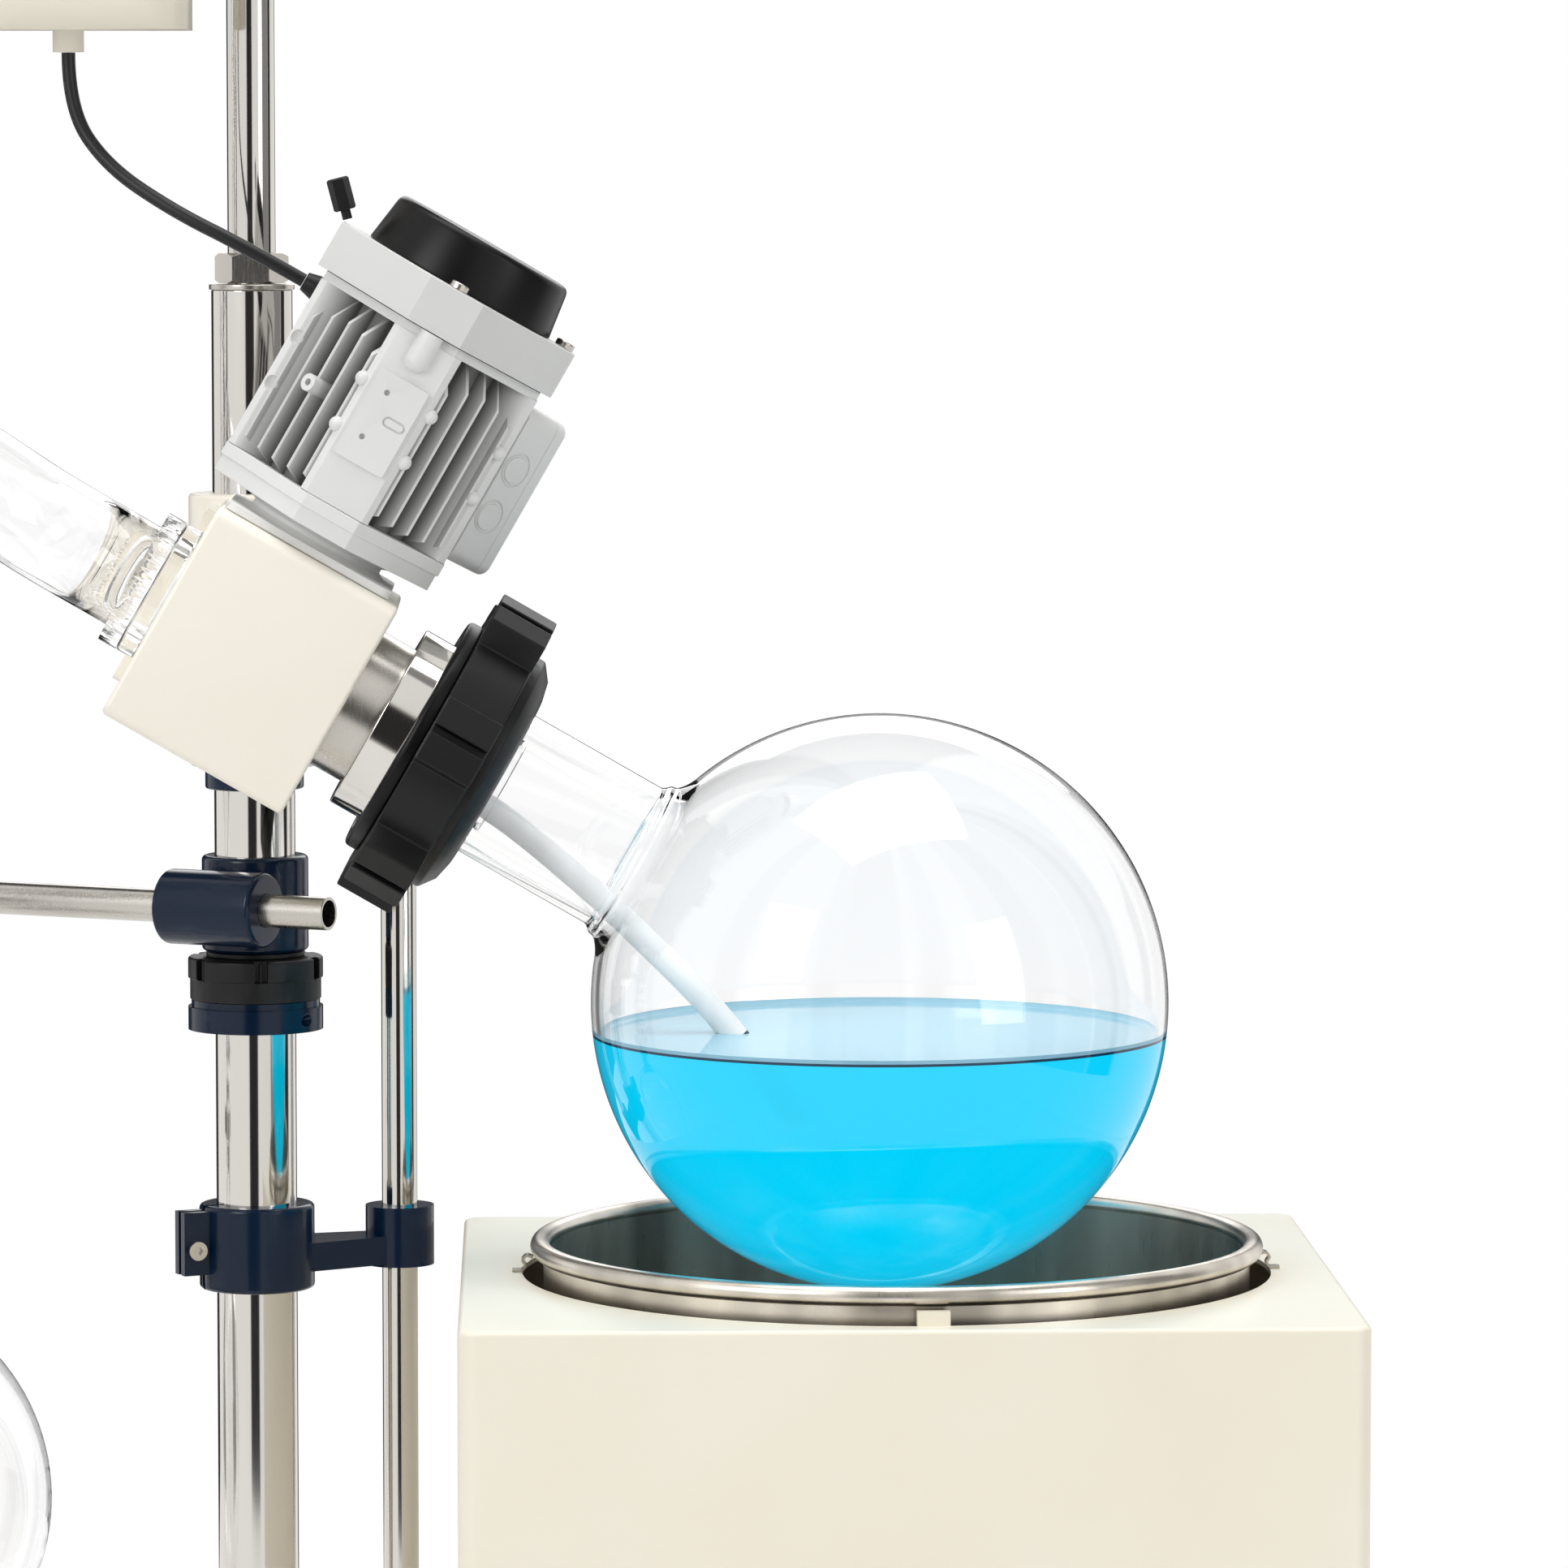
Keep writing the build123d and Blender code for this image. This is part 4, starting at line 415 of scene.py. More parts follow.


# dyed water: a strong even colour, part of it a painted glow that stands in for the light of the white room that has
# come through, over a little that is simply seen through it
def dyedWater(name, hexText, paintShare, glow, body, rough):
    material, tree, output, spot = startMaterial(name)
    drift = addNode(tree, "ShaderNodeTexNoise", {"Vector": spot, "Scale": dyeing["driftScale"], "Detail": 0.0})
    colour = rampStops(addNode(tree, "ShaderNodeValToRGB", {"Fac": drift.outputs["Fac"]}), dyeing["stops"],
                       (dimmed(hexText, dyeing["dimShare"] * paintShare), dimmed(hexText, paintShare)))
    shader = addNode(tree, "ShaderNodeBsdfPrincipled", {
        "Base Color": colour.outputs["Color"], "Roughness": rough, "IOR": dyeing["bending"],
        "Specular IOR Level": dyeing["mirror"], "Emission Color": linear(hexText), "Emission Strength": glow})
    through = addNode(tree, "ShaderNodeBsdfTransparent", {"Color": linear(hexText)})
    mix = addNode(tree, "ShaderNodeMixShader", {0: body, 1: through.outputs[0], 2: shader.outputs[0]})
    tree.links.new(mix.outputs[0], output.inputs["Surface"])
    return material


# cream, sprayed on a casting: soft sheen and a faint grain; powder-coated on sheet: even, like an eggshell
creamHead = paintedSurface("creamSprayedCasting", "F5EFE3", shade="F1EBDD", rough=0.38, coat=0.25,
                           castSize=5.0, castHeight=0.05)
creamSheet = paintedSurface("creamPowderCoatedSteel", "F3EDDD", shade="EFE8D6", rough=0.42, coat=0.15)
# enamel: a wet gloss with sharp highlights
navyEnamel = paintedSurface("navyEnamelledCasting", "0A2039", shade="07182D", rough=0.2, coat=0.12, mirror=0.22)
# grey paint: dull and grainy on the castings, with painted shade between the fins, and smoother on the pressed cover
greyCasting = {"hexText": "E2E2E0", "shade": "DADAD8", "rough": 0.5, "coat": 0.05, "castSize": 1.6,
               "castHeight": 0.1}
# how far the painted shade between the fins reaches, and how dark it gets
finShadeDepths = {"root": 52.5, "tip": 66.0, "finsTo": 33.0, "fade": 1.0, "amount": 0.85, "colour": "4C4C4C"}
motorCasting = paintedSurface("greyPaintedAluminiumCasting", **greyCasting)
finnedCasting = paintedSurface("greyPaintedFins", gapShade=finShadeDepths, **greyCasting)
fanCoverPaint = paintedSurface("greyPaintedPressing", "D6D6D4", shade="CFCFCD", rough=0.45, coat=0.08)
# polyamide: satin with broad highlights where it was turned, duller and textured where it was moulded
blackCapPlastic = mouldedPlastic("blackTurnedPolyamide", "0E0E10", rough=0.33, textureSize=1.2, textureHeight=0.03,
                                 mirror=0.2)
blackNutPlastic = mouldedPlastic("blackMouldedPolyamide", "121213", rough=0.42, textureSize=0.9, textureHeight=0.06,
                                 mirror=0.28)
# a waxy white hose, dull rubber feet, and the cable's smoother rubber
whiteFluoropolymer = mouldedPlastic("whiteFluoropolymer", "E3E6E7", rough=0.4, textureSize=1.5, textureHeight=0.02)
footRubber = mouldedPlastic("blackFootRubber", "222223", rough=0.7, textureSize=1.1, textureHeight=0.08)
cordRubber = mouldedPlastic("blackCordRubber", "141416", rough=0.42, textureSize=1.4, textureHeight=0.02, mirror=0.4)
# stainless steel: drawn and polished lengthwise, turned round the tilted shaft, or brushed upright with streaks, on
# the pot partly painted reflections
polishedTube = workedSteel("polishedStainlessTube", "DAD6D0", rough=0.08, lineSize=0.7, stretch=(1, 1, 0.02),
                           lineHeight=0.002)
turnedSleeve = workedSteel("turnedStainless", "C9C4BC", rough=0.24, lineSize=0.6, stretch=(1, 1, 0.05),
                           lineHeight=0.006, turn=(0.0, radians(60), 0.0))
# the pot's upright streaks, down to 0.4 of its colour, are partly its drawing marks and partly painted reflections
potSteel = workedSteel("drawnStainlessPot", "E6DED2", rough=0.3, lineSize=0.9, stretch=(1, 1, 0.04),
                       lineHeight=0.006, streak=0.4)
# plain machined steel for the gears and rough dark iron for the heater
gearSteel = workedSteel("machinedGearSteel", "8E8F92", rough=0.3, lineSize=0.5, stretch=(1, 1, 1), lineHeight=0.008)
heaterIron = workedSteel("castHeaterIron", "4A4745", rough=0.55, lineSize=2.0, stretch=(1, 1, 1), lineHeight=0.05)
# glass, and the water that stands in the flask: its body, pale top, the hose seen in it, and its dark line
waterHeight = axes["flaskCentre"][2] - axes["waterDrop"]
clearGlass = blownGlass("borosilicateGlass", "FFFFFF")
flaskGlass = blownGlass("borosilicateFlaskGlass", "FFFFFF", wetBelow=waterHeight)
# the water's body: mostly a painted glow of its colour, in place of the room's light coming through it
cyanWater = dyedWater("cyanDyedWater", "00D6FF", paintShare=0.05, glow=0.97, body=0.93, rough=0.05)
# the water's top, painted pale: a painted reflection of the white room on its surface
paleTopReflection = dyedWater("paintedReflectionWaterSurface", "8FBCCF", paintShare=1.0, glow=0.0, body=0.96, rough=0.02)
# the hose where it shows through the water, painted dark: painted shade
hoseShadeInWater = dyedWater("paintedHoseShadeInWater", "05304A", paintShare=1.0, glow=0.0, body=1.0, rough=0.3)
waterLine = dyedWater("meniscusShadow", "0A3550", paintShare=1.0, glow=0.0, body=1.0, rough=0.2)

print("materials made:", len(bpy.data.materials))

# The photograph's view: level with the motor's top, a long lens, looking a little down and to the right

cameraPlace = {"at": (0.0501, -4.687, 1.4819), "lens": 176.63, "sensor": 36, "down": 4.658, "right": 1.867,
               "seesTo": 200}
cameraData = bpy.data.cameras.new("photoCamera")
cameraData.lens = cameraPlace["lens"]
cameraData.sensor_width = cameraPlace["sensor"]
cameraData.clip_end = cameraPlace["seesTo"]
camera = bpy.data.objects.new("photoCamera", cameraData)
camera.location = cameraPlace["at"]
camera.rotation_euler = (radians(90 - cameraPlace["down"]), 0, -radians(cameraPlace["right"]))
bpy.context.scene.collection.objects.link(camera)
bpy.context.scene.camera = camera
bpy.context.scene.view_settings.view_transform = "Standard"

# The motor's cable, from the gland on the motor to the one under the control box, on the route of the CAD model

motorCable = {
    "radius": 4.25,
    "length": 0.2193,
    "route": [(-90.1, 45.0, 1406.5), (-125.0, 45.0, 1426.6), (-170.0, 52.0, 1449.0),
              (-212.0, 68.0, 1477.0), (-235.0, 78.0, 1512.0), (-235.0, 78.0, 1546.0)],
}
cableCurve = bpy.data.curves.new("motorCable", "CURVE")
cableCurve.dimensions = "3D"
cableCurve.bevel_depth = motorCable["radius"] * mm
cableCurve.bevel_resolution = 8
cableCurve.resolution_u = 24
cableCurve.use_fill_caps = True
cableLine = cableCurve.splines.new("NURBS")
cableLine.points.add(len(motorCable["route"]) - 1)
for point, spot in zip(cableLine.points, motorCable["route"]):
    point.co = (*(value * mm for value in spot), 1)
cableLine.order_u = 3
cableLine.use_endpoint_u = True
cableCurve.materials.append(cordRubber)
cable = bpy.data.objects.new("motorCable", cableCurve)
bpy.context.scene.collection.objects.link(cable)
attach(cable, "stand")
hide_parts("motor_cord")

# The studio: a white room with a few dark strips that only polished metal and glass edges see

studio = {
    "roomLevel": 0.5,            # what the room gives matt surfaces
    # where a strip begins and ends, as shares of a turn round the room, and how bright it is
    "metalStrips": [(0.205, 0.268, 0.03), (0.375, 0.50, 0.30), (0.508, 0.545, 0.03), (0.69, 0.86, 0.04)],
    "glassStrips": [(0.045, 0.075, 0.25), (0.17, 0.20, 0.25), (0.295, 0.325, 0.25), (0.42, 0.45, 0.25),
                    (0.545, 0.575, 0.25), (0.80, 0.83, 0.25), (0.92, 0.95, 0.25)],
    "stripEdge": 0.006,
    "floorGlow": 0.9,            # how much of the floor's white is its own
    "floorLight": 1.06,
    "floorWhite": "F7F7F6",
    "floorHalf": 3.0,            # half the floor's side, in metres
    # where a lamp stands, what it faces, its two sides and its watts
    "lamps": {
        "keyFromLeft": ((-2.6, -2.9, 3.0), (0.1, 0.0, 1.1), (1.6, 2.2), 60),
        "fillFromRight": ((2.8, -2.4, 1.9), (0.2, 0.0, 1.0), (1.2, 2.4), 24),
        "overhead": ((0.3, -0.2, 4.2), (0.2, 0.0, 1.0), (2.6, 2.0), 60),
        "fromBehind": ((0.4, 3.4, 2.6), (0.1, 0.0, 1.0), (2.4, 1.6), 28),
    },
}
white = (1, 1, 1, 1)
world = bpy.data.worlds.new("studioRoom")
bpy.context.scene.world = world
world.use_nodes = True
room = world.node_tree
room.nodes.clear()
direction = addNode(room, "ShaderNodeTexCoord").outputs["Generated"]
parts = addNode(room, "ShaderNodeSeparateXYZ", {"Vector": direction})
bearing = addNode(room, "ShaderNodeMath", {0: parts.outputs["Y"], 1: parts.outputs["X"]}, operation="ARCTAN2")
share = addNode(room, "ShaderNodeMapRange", {"Value": bearing.outputs[0], "From Min": -pi, "From Max": pi})


# white all round, but for the strips
def stripedRoom(strips):
    edge = studio["stripEdge"]
    places, colours = [0.0], [white]
    for start, end, level in strips:
        strip = (level, level, level, 1)
        places += [start - edge, start, end, end + edge]
        colours += [white, strip, strip, white]
    stripes = rampStops(addNode(room, "ShaderNodeValToRGB", {"Fac": share.outputs["Result"]}), places, colours)
    return addNode(room, "ShaderNodeBackground", {"Color": stripes.outputs["Color"], "Strength": 1.0})


rays = addNode(room, "ShaderNodeLightPath")
whole = addNode(room, "ShaderNodeBackground", {"Color": white, "Strength": studio["roomLevel"]})
seenBy = {
    "Is Glossy Ray": stripedRoom(studio["metalStrips"]),
    "Is Transmission Ray": stripedRoom(studio["glassStrips"]),
    "Is Camera Ray": addNode(room, "ShaderNodeBackground", {"Color": white, "Strength": 1.0}),
}
for raySort, view in seenBy.items():
    whole = addNode(room, "ShaderNodeMixShader",
                    {0: rays.outputs[raySort], 1: whole.outputs[0], 2: view.outputs[0]})
worldOutput = addNode(room, "ShaderNodeOutputWorld")
room.links.new(whole.outputs[0], worldOutput.inputs["Surface"])

# soft boxes, each facing its target
for name, (at, target, size, power) in studio["lamps"].items():
    light = bpy.data.lights.new(name, "AREA")
    light.shape = "RECTANGLE"
    light.size, light.size_y = size
    light.energy = power
    lamp = bpy.data.objects.new(name, light)
    lamp.location = at
    lamp.rotation_euler = (Vector(target) - Vector(at)).to_track_quat("-Z", "Y").to_euler()
    bpy.context.scene.collection.objects.link(lamp)

# a painted floor, lit to white for the eye, for polished metal and through glass
floorMaterial, floorTree, floorOutput, _ = startMaterial("paleStudioFloor")
floorPaint = addNode(floorTree, "ShaderNodeBsdfDiffuse", {"Color": linear(studio["floorWhite"])})
floorGlow = addNode(floorTree, "ShaderNodeEmission", {"Color": white, "Strength": studio["floorLight"]})
floorRays = addNode(floorTree, "ShaderNodeLightPath")
seen = floorRays.outputs["Is Camera Ray"]
for raySort in ("Is Glossy Ray", "Is Transmission Ray"):
    seen = addNode(floorTree, "ShaderNodeMath", {0: seen, 1: floorRays.outputs[raySort]},
                   operation="MAXIMUM").outputs[0]
glowShare = addNode(floorTree, "ShaderNodeMath", {0: seen, 1: studio["floorGlow"]}, operation="MULTIPLY")
floorMix = addNode(floorTree, "ShaderNodeMixShader",
                   {0: glowShare.outputs[0], 1: floorPaint.outputs[0], 2: floorGlow.outputs[0]})
floorTree.links.new(floorMix.outputs[0], floorOutput.inputs["Surface"])
floorMesh = bpy.data.meshes.new("studioFloor")
half = studio["floorHalf"]
floorCorners = [(-half, -half, 0), (half, -half, 0), (half, half, 0), (-half, half, 0)]
floorMesh.from_pydata(floorCorners, [], [(0, 1, 2, 3)])
floorMesh.materials.append(floorMaterial)
floor = bpy.data.objects.new("studioFloor", floorMesh)
bpy.context.scene.collection.objects.link(floor)

print("camera, cable and studio made")

# Columns: drawn tubes with a small round at their ends, and the turned cap between them

column = {"radius": 25.4, "bore": 22.4, "low": 140.3, "high": 1399.0, "endRound": 0.6}
rod = {"radius": 11.25, "high": 1100.0, "endRound": 2.0}
upper = {"radius": 15.0, "low": 1387.0, "high": 1900.0, "endRounds": [0, 0.6, 1.5, 0]}
columnCap = {"bore": 15.3, "skirtRadius": 22.1, "skirtLow": 1387.3, "radius": 26.8, "low": 1399.3, "high": 1402.7,
             "edge": 0.7}
newPiece("mainColumn", turned(band(column["bore"], column["radius"], column["low"], column["high"]),
                              standingAt("column"), column["endRound"]),
         polishedTube, "stand", "bright_steel", "column")
newPiece("guideRod", turned(band(0, rod["radius"], column["low"], rod["high"]),
                            standingAt("rod"), rod["endRound"], closed=False, around=96),
         polishedTube, "stand", "bright_steel", "guide_rod")
newPiece("upperTube", turned(band(0, upper["radius"], upper["low"], upper["high"]),
                             standingAt("column"), upper["endRounds"], closed=False, around=96),
         polishedTube, "stand", "bright_steel", "upper_tube")
capOutline = [(columnCap["bore"], columnCap["skirtLow"]), (columnCap["skirtRadius"], columnCap["skirtLow"]),
              (columnCap["skirtRadius"], columnCap["low"]), (columnCap["radius"], columnCap["low"]),
              (columnCap["radius"], columnCap["high"]), (columnCap["bore"], columnCap["high"])]
newPiece("columnCap", turned(capOutline, standingAt("column"), columnCap["edge"]),
         turnedSleeve, "stand", "bright_steel", "column_cap")
print("columns made")

# Shaft's front: the turned sleeve, the polished ring with its thin flange, and the black ring round that

sleeve = {"radius": 46.0, "bore": 36.0, "back": -483.7, "front": -296.3, "edge": 0.8}
shaftRing = {"bore": 46.05, "radius": 60.0, "back": -353.7, "threadRadius": 57.0,
             "flangeRadius": 67.0, "flangeBack": -332.6, "flangeFront": -324.6,
             "edges": [0.5, 1.2, 1.2, 1.5, 1.5, 0.5, 0.5, 0.5]}
backRing = {"bore": 67.3, "radius": 78.0, "back": -333.7, "front": -324.6, "edges": [1, 4, 1, 0.5]}
newPiece("turnedShaftSleeve", turned(band(sleeve["bore"], sleeve["radius"], sleeve["back"], sleeve["front"]),
                                     onFlaskAxis, sleeve["edge"]),
         turnedSleeve, "spindle", "brushed_steel", "hollow_shaft")
ringOutline = [(shaftRing["bore"], shaftRing["back"]), (shaftRing["radius"], shaftRing["back"]),
               (shaftRing["radius"], shaftRing["flangeBack"]),
               (shaftRing["flangeRadius"], shaftRing["flangeBack"]),
               (shaftRing["flangeRadius"], shaftRing["flangeFront"]),
               (shaftRing["threadRadius"], shaftRing["flangeFront"]),
               (shaftRing["threadRadius"], sleeve["front"]), (shaftRing["bore"], sleeve["front"])]
newPiece("polishedShaftRing", turned(ringOutline, onFlaskAxis, shaftRing["edges"]),
         polishedTube, "spindle", "bright_steel", "polished_ring")
backOutline = band(backRing["bore"], backRing["radius"], backRing["back"], backRing["front"])
newPiece("blackBackRing", turned(backOutline, onFlaskAxis, backRing["edges"]),
         blackCapPlastic, "spindle", "black_plastic", "nut_back_ring")

# Flask: a blown sphere welded to its neck, which ends in a ground flange; the inner skin keeps one wall all round

flask = {
    "radius": 177.0, "wall": 5.0, "neckRadius": 47.5, "neckEnd": -296.0, "steps": 120,
    "flangeRadius": 56.0, "flangeLength": 12.0, "flangeEdges": [0, 5, 2, 2, 2, 0],
    "neckKnee": 2.2,           # where the neck's line starts, in lengths of the flange
    "weldReach": 16.0, "weldSteps": 24,
    "weldPull": 0.8,           # how far along the sphere's last tangent the curve's corner lies
    "weldEnd": 0.3,            # how far past the sphere the curve ends, as a share of its reach
    "weldBead": 1.6, "innerBead": 0.5, "beadAt": 0.75, "beadSpread": 0.12,
}


# the sphere's outline meets the neck's line through one smooth curve, with a slight bead where the glass is welded
def flaskSkin(inset, bead):
    sphere, neck = flask["radius"] - inset, flask["neckRadius"] - inset
    joinTurn = np.arcsin((neck + flask["weldReach"]) / sphere)
    turn = np.linspace(0, pi - joinTurn, flask["steps"])
    ball = np.stack([sphere * np.sin(turn), sphere * np.cos(turn)], 1)
    start = ball[-1]
    along = ball[-1] - ball[-2]
    corner = start + along * ((neck - start[0]) / along[0] * flask["weldPull"])
    end = np.array([neck, -sphere - flask["weldReach"] * flask["weldEnd"]])
    t = np.linspace(0, 1, flask["weldSteps"])[:, None]
    weld = (1 - t) ** 2 * start + 2 * t * (1 - t) * corner + t ** 2 * end
    weld[:, 0] += bead * np.exp(-((t[:, 0] - flask["beadAt"]) / flask["beadSpread"]) ** 2)
    return np.concatenate([ball, weld[1:]])


outerSkin = flaskSkin(0, flask["weldBead"])
innerSkin = flaskSkin(flask["wall"], flask["weldBead"] * flask["innerBead"])
neck, neckEnd, length = flask["neckRadius"], flask["neckEnd"], flask["flangeLength"]
neckBore = neck - flask["wall"]
flange = rounded([(neck, neckEnd + flask["neckKnee"] * length), (neck, neckEnd + length),
                  (flask["flangeRadius"], neckEnd + length / 2), (flask["flangeRadius"], neckEnd),
                  (neckBore, neckEnd), (neckBore, neckEnd + length)],
                 flask["flangeEdges"], closed=False)
newPiece("blownFlask", turned(np.concatenate([outerSkin, flange, innerSkin[::-1]]), onFlaskAxis, 0,
                              closed=False, around=192, steps=2),
         flaskGlass, "spindle", "clear_glass", "evaporating_flask", sharp=60)

# Vapour duct: the glass tube that stands inside the turning neck, with a flange at its back and a lip at its mouth

duct = {"radius": 30.0, "bore": 27.5, "back": -512.3, "flangeRadius": 44.0, "flangeFront": -500.3,
        "lipRadius": 31.5, "lipStart": -272.5, "lipFull": -268.0, "mouth": -266.5,
        "edges": [1, 2, 2, 1, 4, 0.7, 0.7, 0.7]}
ductOutline = [(duct["bore"], duct["back"]), (duct["flangeRadius"], duct["back"]),
               (duct["flangeRadius"], duct["flangeFront"]), (duct["radius"], duct["flangeFront"]),
               (duct["radius"], duct["lipStart"]), (duct["lipRadius"], duct["lipFull"]),
               (duct["lipRadius"], duct["mouth"]), (duct["bore"], duct["mouth"])]
newPiece("vapourDuct", turned(ductOutline, onFlaskAxis, duct["edges"]),
         clearGlass, "stand", "clear_glass", "vapour_duct", sharp=60)

# Feed hose: from the duct's mouth down into the water, in the flask's upright plane

feed = {"radius": 8.0, "bore": 5.0, "bend": 60.0, "bendSteps": 16, "shadeSkin": 0.06,
        "route": [(-321.3, 163.3), (-235.7, 118.8), (-207.4, 96.5), (-165.8, 60.2), (-98.5, -6.0), (-48.7, -75.1)]}
feedLine = np.array([(x, 0.0, z) for x, z in feed["route"]]) + axes["flaskCentre"]
feedLine = withoutRepeats(rounded(feedLine, feed["bend"], closed=False, steps=feed["bendSteps"]))
newPiece("feedHose", hoseAlong(feedLine, feed["radius"], feed["bore"], worldY),
         whiteFluoropolymer, "stand", "white_plastic", "feed_tube", sharp=50)
# painted shade on its end under the water, from the water's surface down, a hair outside the hose
underWaterLine = feedLine[feedLine[:, 2] < waterHeight]
newPiece("feedHoseShadeInWater", hoseAlong(underWaterLine, feed["radius"] + feed["shadeSkin"],
                                     feed["radius"] - feed["shadeSkin"], worldY),
         hoseShadeInWater, "stand", "white_plastic", sharp=50)

# Water: the lower part of a ball, level on top, with a rim that climbs the glass a little. It reaches a little
# into the glass, so no air shows between them.

water = {"radius": 172.5, "level": -axes["waterDrop"], "bowlSteps": 80,
         "climb": 3.0, "rimWide": 5.0, "rimSteps": 16, "sheetTop": 0.15, "sheetUnder": 0.1, "sheetInset": 0.2,
         "lineHigh": 1.6, "lineInside": 0.1, "lineOutside": 0.25, "lineEdge": 0.1}
level = water["level"]
levelRadius = sqrt(water["radius"] ** 2 - level ** 2)
underTurn = np.linspace(pi, np.arccos(level / water["radius"]), water["bowlSteps"])
bowl = np.stack([water["radius"] * np.sin(underTurn), water["radius"] * np.cos(underTurn)], 1)
newPiece("dyedWaterBody", turned(np.concatenate([bowl, [[0.0, level]]]), standingAt("flaskCentre"), 0,
                                 closed=False, around=192, steps=2),
         cyanWater, "stand", "cyan_liquid", "liquid")
t = np.linspace(0, 1, water["rimSteps"])
rim = np.stack([levelRadius - water["rimWide"] * (1 - t), level + water["sheetTop"] + water["climb"] * t ** 3], 1)
waterSheet = np.concatenate([[[0.0, level + water["sheetTop"]]], rim,
                             [[levelRadius - water["sheetInset"], level + water["sheetUnder"]],
                              [0.0, level + water["sheetUnder"]]]])
newPiece("waterSurface", turned(waterSheet, standingAt("flaskCentre"), 0, closed=False, around=192, steps=2),
         paleTopReflection, "stand", "cyan_liquid")
lineOutline = band(levelRadius - water["lineInside"], levelRadius + water["lineOutside"],
                   level - water["lineHigh"] / 2, level + water["lineHigh"] / 2)
newPiece("waterLineShadow", turned(lineOutline, standingAt("flaskCentre"), water["lineEdge"], around=192),
         waterLine, "stand", "cyan_liquid")
print("flask and water made")

# Motor's round cap: a slightly tapered turned disc with a soft top edge

cap = {"radius": 62.5, "topRadius": 58.0, "low": 250.9, "high": 283.2, "edges": [0, 1, 5, 0]}
discOutline = [(0, cap["low"]), (cap["radius"], cap["low"]), (cap["topRadius"], cap["high"]), (0, cap["high"])]
newPiece("motorRoundCap", turned(discOutline, onMotorAxis, cap["edges"], closed=False),
         blackCapPlastic, "stand", "black_plastic", "motor_cap")

# Pot: deep-drawn, a round bottom corner and a rolled rim

pot = {"bore": 213.0, "outer": 217.0, "bottom": 576.0, "floor": 580.0, "corner": 40.0, "innerCorner": 36.0,
       "cornerSteps": 14, "beadRadius": 6.0, "beadHigh": 816.0, "outerTop": 809.4, "innerTop": 814.0,
       "beadFrom": -0.35, "beadTo": 1.2, "beadSteps": 26}      # the bead's turn is in half turns
beadTurn = np.linspace(pot["beadFrom"] * pi, pot["beadTo"] * pi, pot["beadSteps"])
bead = np.stack([pot["bore"] + pot["beadRadius"] + pot["beadRadius"] * np.cos(beadTurn),
                 pot["beadHigh"] + pot["beadRadius"] * np.sin(beadTurn)], 1)
potOutside = rounded([(0, pot["bottom"]), (pot["outer"], pot["bottom"]), (pot["outer"], pot["outerTop"])],
                     [0, pot["corner"], 0], closed=False, steps=pot["cornerSteps"])
potInside = rounded([(pot["bore"], pot["innerTop"]), (pot["bore"], pot["floor"]), (0, pot["floor"])],
                    [0, pot["innerCorner"], 0], closed=False, steps=pot["cornerSteps"])
newPiece("drawnPot", turned(np.concatenate([potOutside, bead, potInside]), standingAt("pot"), 0,
                            closed=False, around=240, steps=2),
         potSteel, "bath", "pot_steel", "bath_pot", sharp=50)

# Spring hooks that hold the pot's rim left and right, and the moulded block that does so in front

hook = {"turns": (0.0, 180.0), "wide": 8.0, "thick": 1.5, "bend": 1.5,
        "line": [(236.0, 801.0), (229.6, 801.0), (227.6, 804.0), (230.2, 807.4), (227.2, 810.6), (223.4, 809.0)]}
block = {"turn": -87.2, "wide": 19.4, "thick": 7.0, "line": [(227.0, 799.9), (227.0, 808.4)]}


# a flat strip bent along a line in an upright plane through the pot's axis, (distance from the axis, height)
def bentStrip(line, strip, turn):
    line = withoutRepeats(np.asarray(line))
    tangent = np.gradient(line, axis=0)
    tangent /= np.linalg.norm(tangent, axis=1, keepdims=True)
    normal = np.stack([-tangent[:, 1], tangent[:, 0]], 1)
    corner = np.array([(-1, -1), (1, -1), (1, 1), (-1, 1)]) / 2
    reach = line[:, None] + normal[:, None] * corner[None, :, 1:] * strip["thick"]
    aside = np.broadcast_to(corner[:, 0] * strip["wide"], reach.shape[:2])
    c, s = cos(radians(turn)), sin(radians(turn))
    points = np.stack([reach[..., 0] * c - aside * s, reach[..., 0] * s + aside * c, reach[..., 1]], -1)
    last = 4 * (len(line) - 1)
    ends = np.array([(3, 2, 1, 0), (last, last + 1, last + 2, last + 3)])
    return standingAt("pot")(points).reshape(-1, 3), np.concatenate([gridFaces(len(line), 4, False, True), ends])


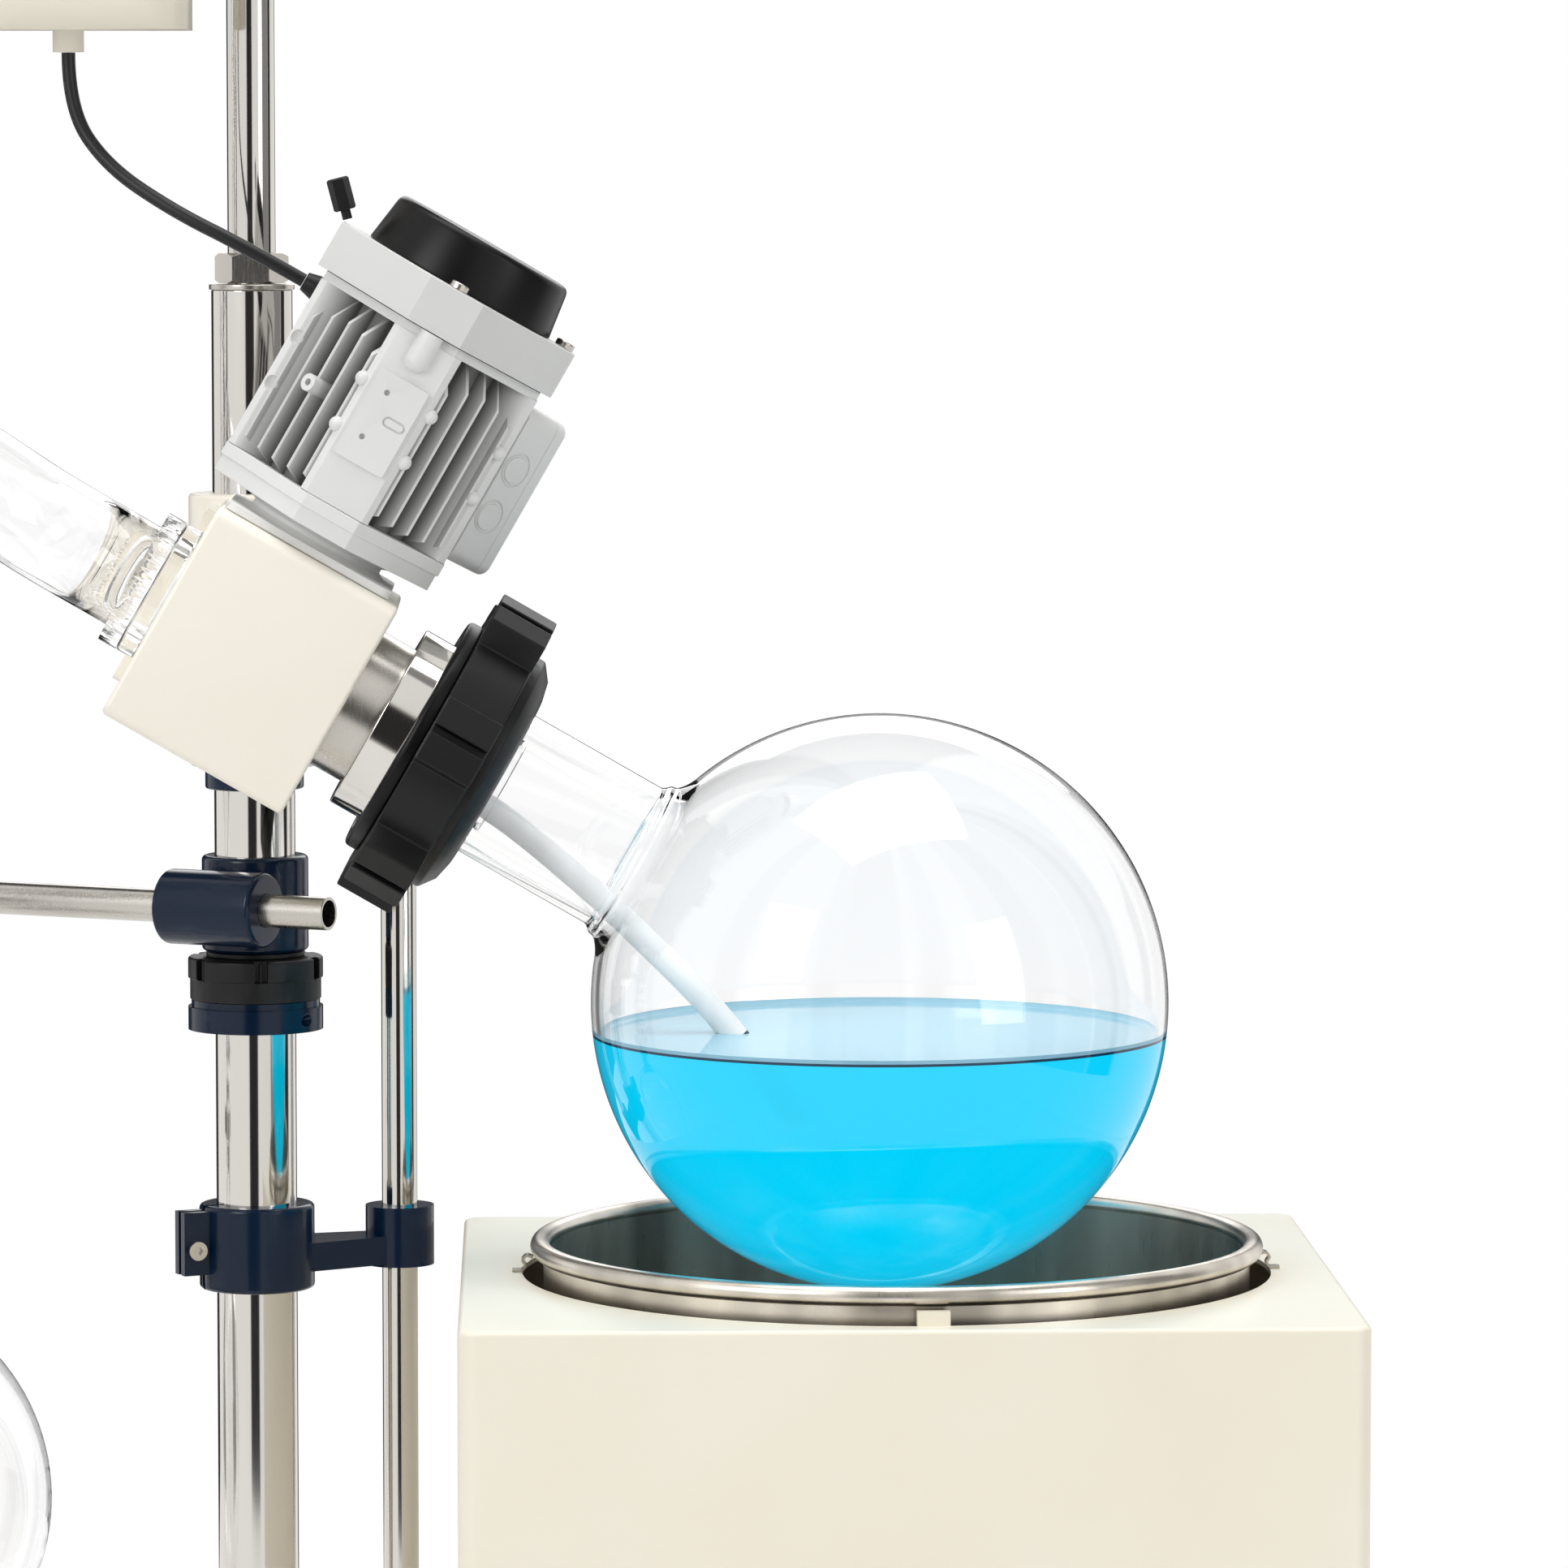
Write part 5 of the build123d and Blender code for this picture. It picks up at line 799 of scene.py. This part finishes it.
hookLine = rounded(hook["line"], hook["bend"], closed=False)
newPiece("rimHooks", [bentStrip(hookLine, hook, turn) for turn in hook["turns"]],
         turnedSleeve, "bath", "brushed_steel", "pot_clips")
newPiece("rimBlock", bentStrip(block["line"], block, block["turn"]), creamSheet, "bath", "cream_paint")
print("pot and its hooks made")

# The rest keeps its CAD shape, with the small edge rounds and the finish of the real piece
# Each row has the nodes, their material and slot, and the width of the edge rounds. The bath cabinet's row ends with
# the angle in degrees from which an edge is sharp: less than usual, so its rounds do not shade its flat panels.

finishes = [
    (("base_frame",), creamSheet, "cream_paint", 0.0),
    (("bath_cabinet",), creamSheet, "cream_paint", 0.0, 12),
    (("gearbox_housing", "rear_bracket"), creamHead, "cream_paint", 0.0),
    (("control_box",), creamSheet, "cream_paint", 0.0),
    (("brace", "stop_ring", "swivel_boss", "head_bush"), navyEnamel, "navy_paint", 0.8),
    (("motor_adapter", "end_shield", "terminal_box", "terminal_lid", "knockout_plugs"),
     motorCasting, "motor_grey", 0.8),
    (("stator_housing",), finnedCasting, "motor_grey", 0.8),
    (("fan_cover",), fanCoverPaint, "motor_grey", 0.8),
    (("coupling_nut",), blackNutPlastic, "black_plastic", 1.2),
    (("lock_nut", "thrust_ring", "thumb_knob", "speed_knob", "bath_knob", "power_switch", "cord_gland",
      "motor_fan"), blackNutPlastic, "black_plastic", 0.5),
    (("levelling_feet",), footRubber, "black_plastic", 0.8),
    (("foot_flanges", "tube_clamps", "flask_clamp", "machine_screws", "cross_tube"),
     turnedSleeve, "brushed_steel", 0.5),
    (("lift_outer", "lift_inner"), creamSheet, "cream_paint", 1.0),
    (("column_nut",), turnedSleeve, "bright_steel", 0.6),
    (("bevel_gear", "drive_pinion", "shaft_bearings"), gearSteel, "gear_steel", 0.0),
    (("vapour_seal", "valve_key"), whiteFluoropolymer, "white_plastic", 0.4),
    (("condenser_jacket", "vapour_manifold", "condenser_coil", "drain_valve", "receiving_flask"),
     clearGlass, "clear_glass", 0.0),
    (("bath_heater",), heaterIron, "heater_iron", 0.0),
]
for nodes, material, slot, edge, *sharp in finishes:
    for node in nodes:
        softened(node, material, slot, edge, *sharp)
print("remaining pieces finished")
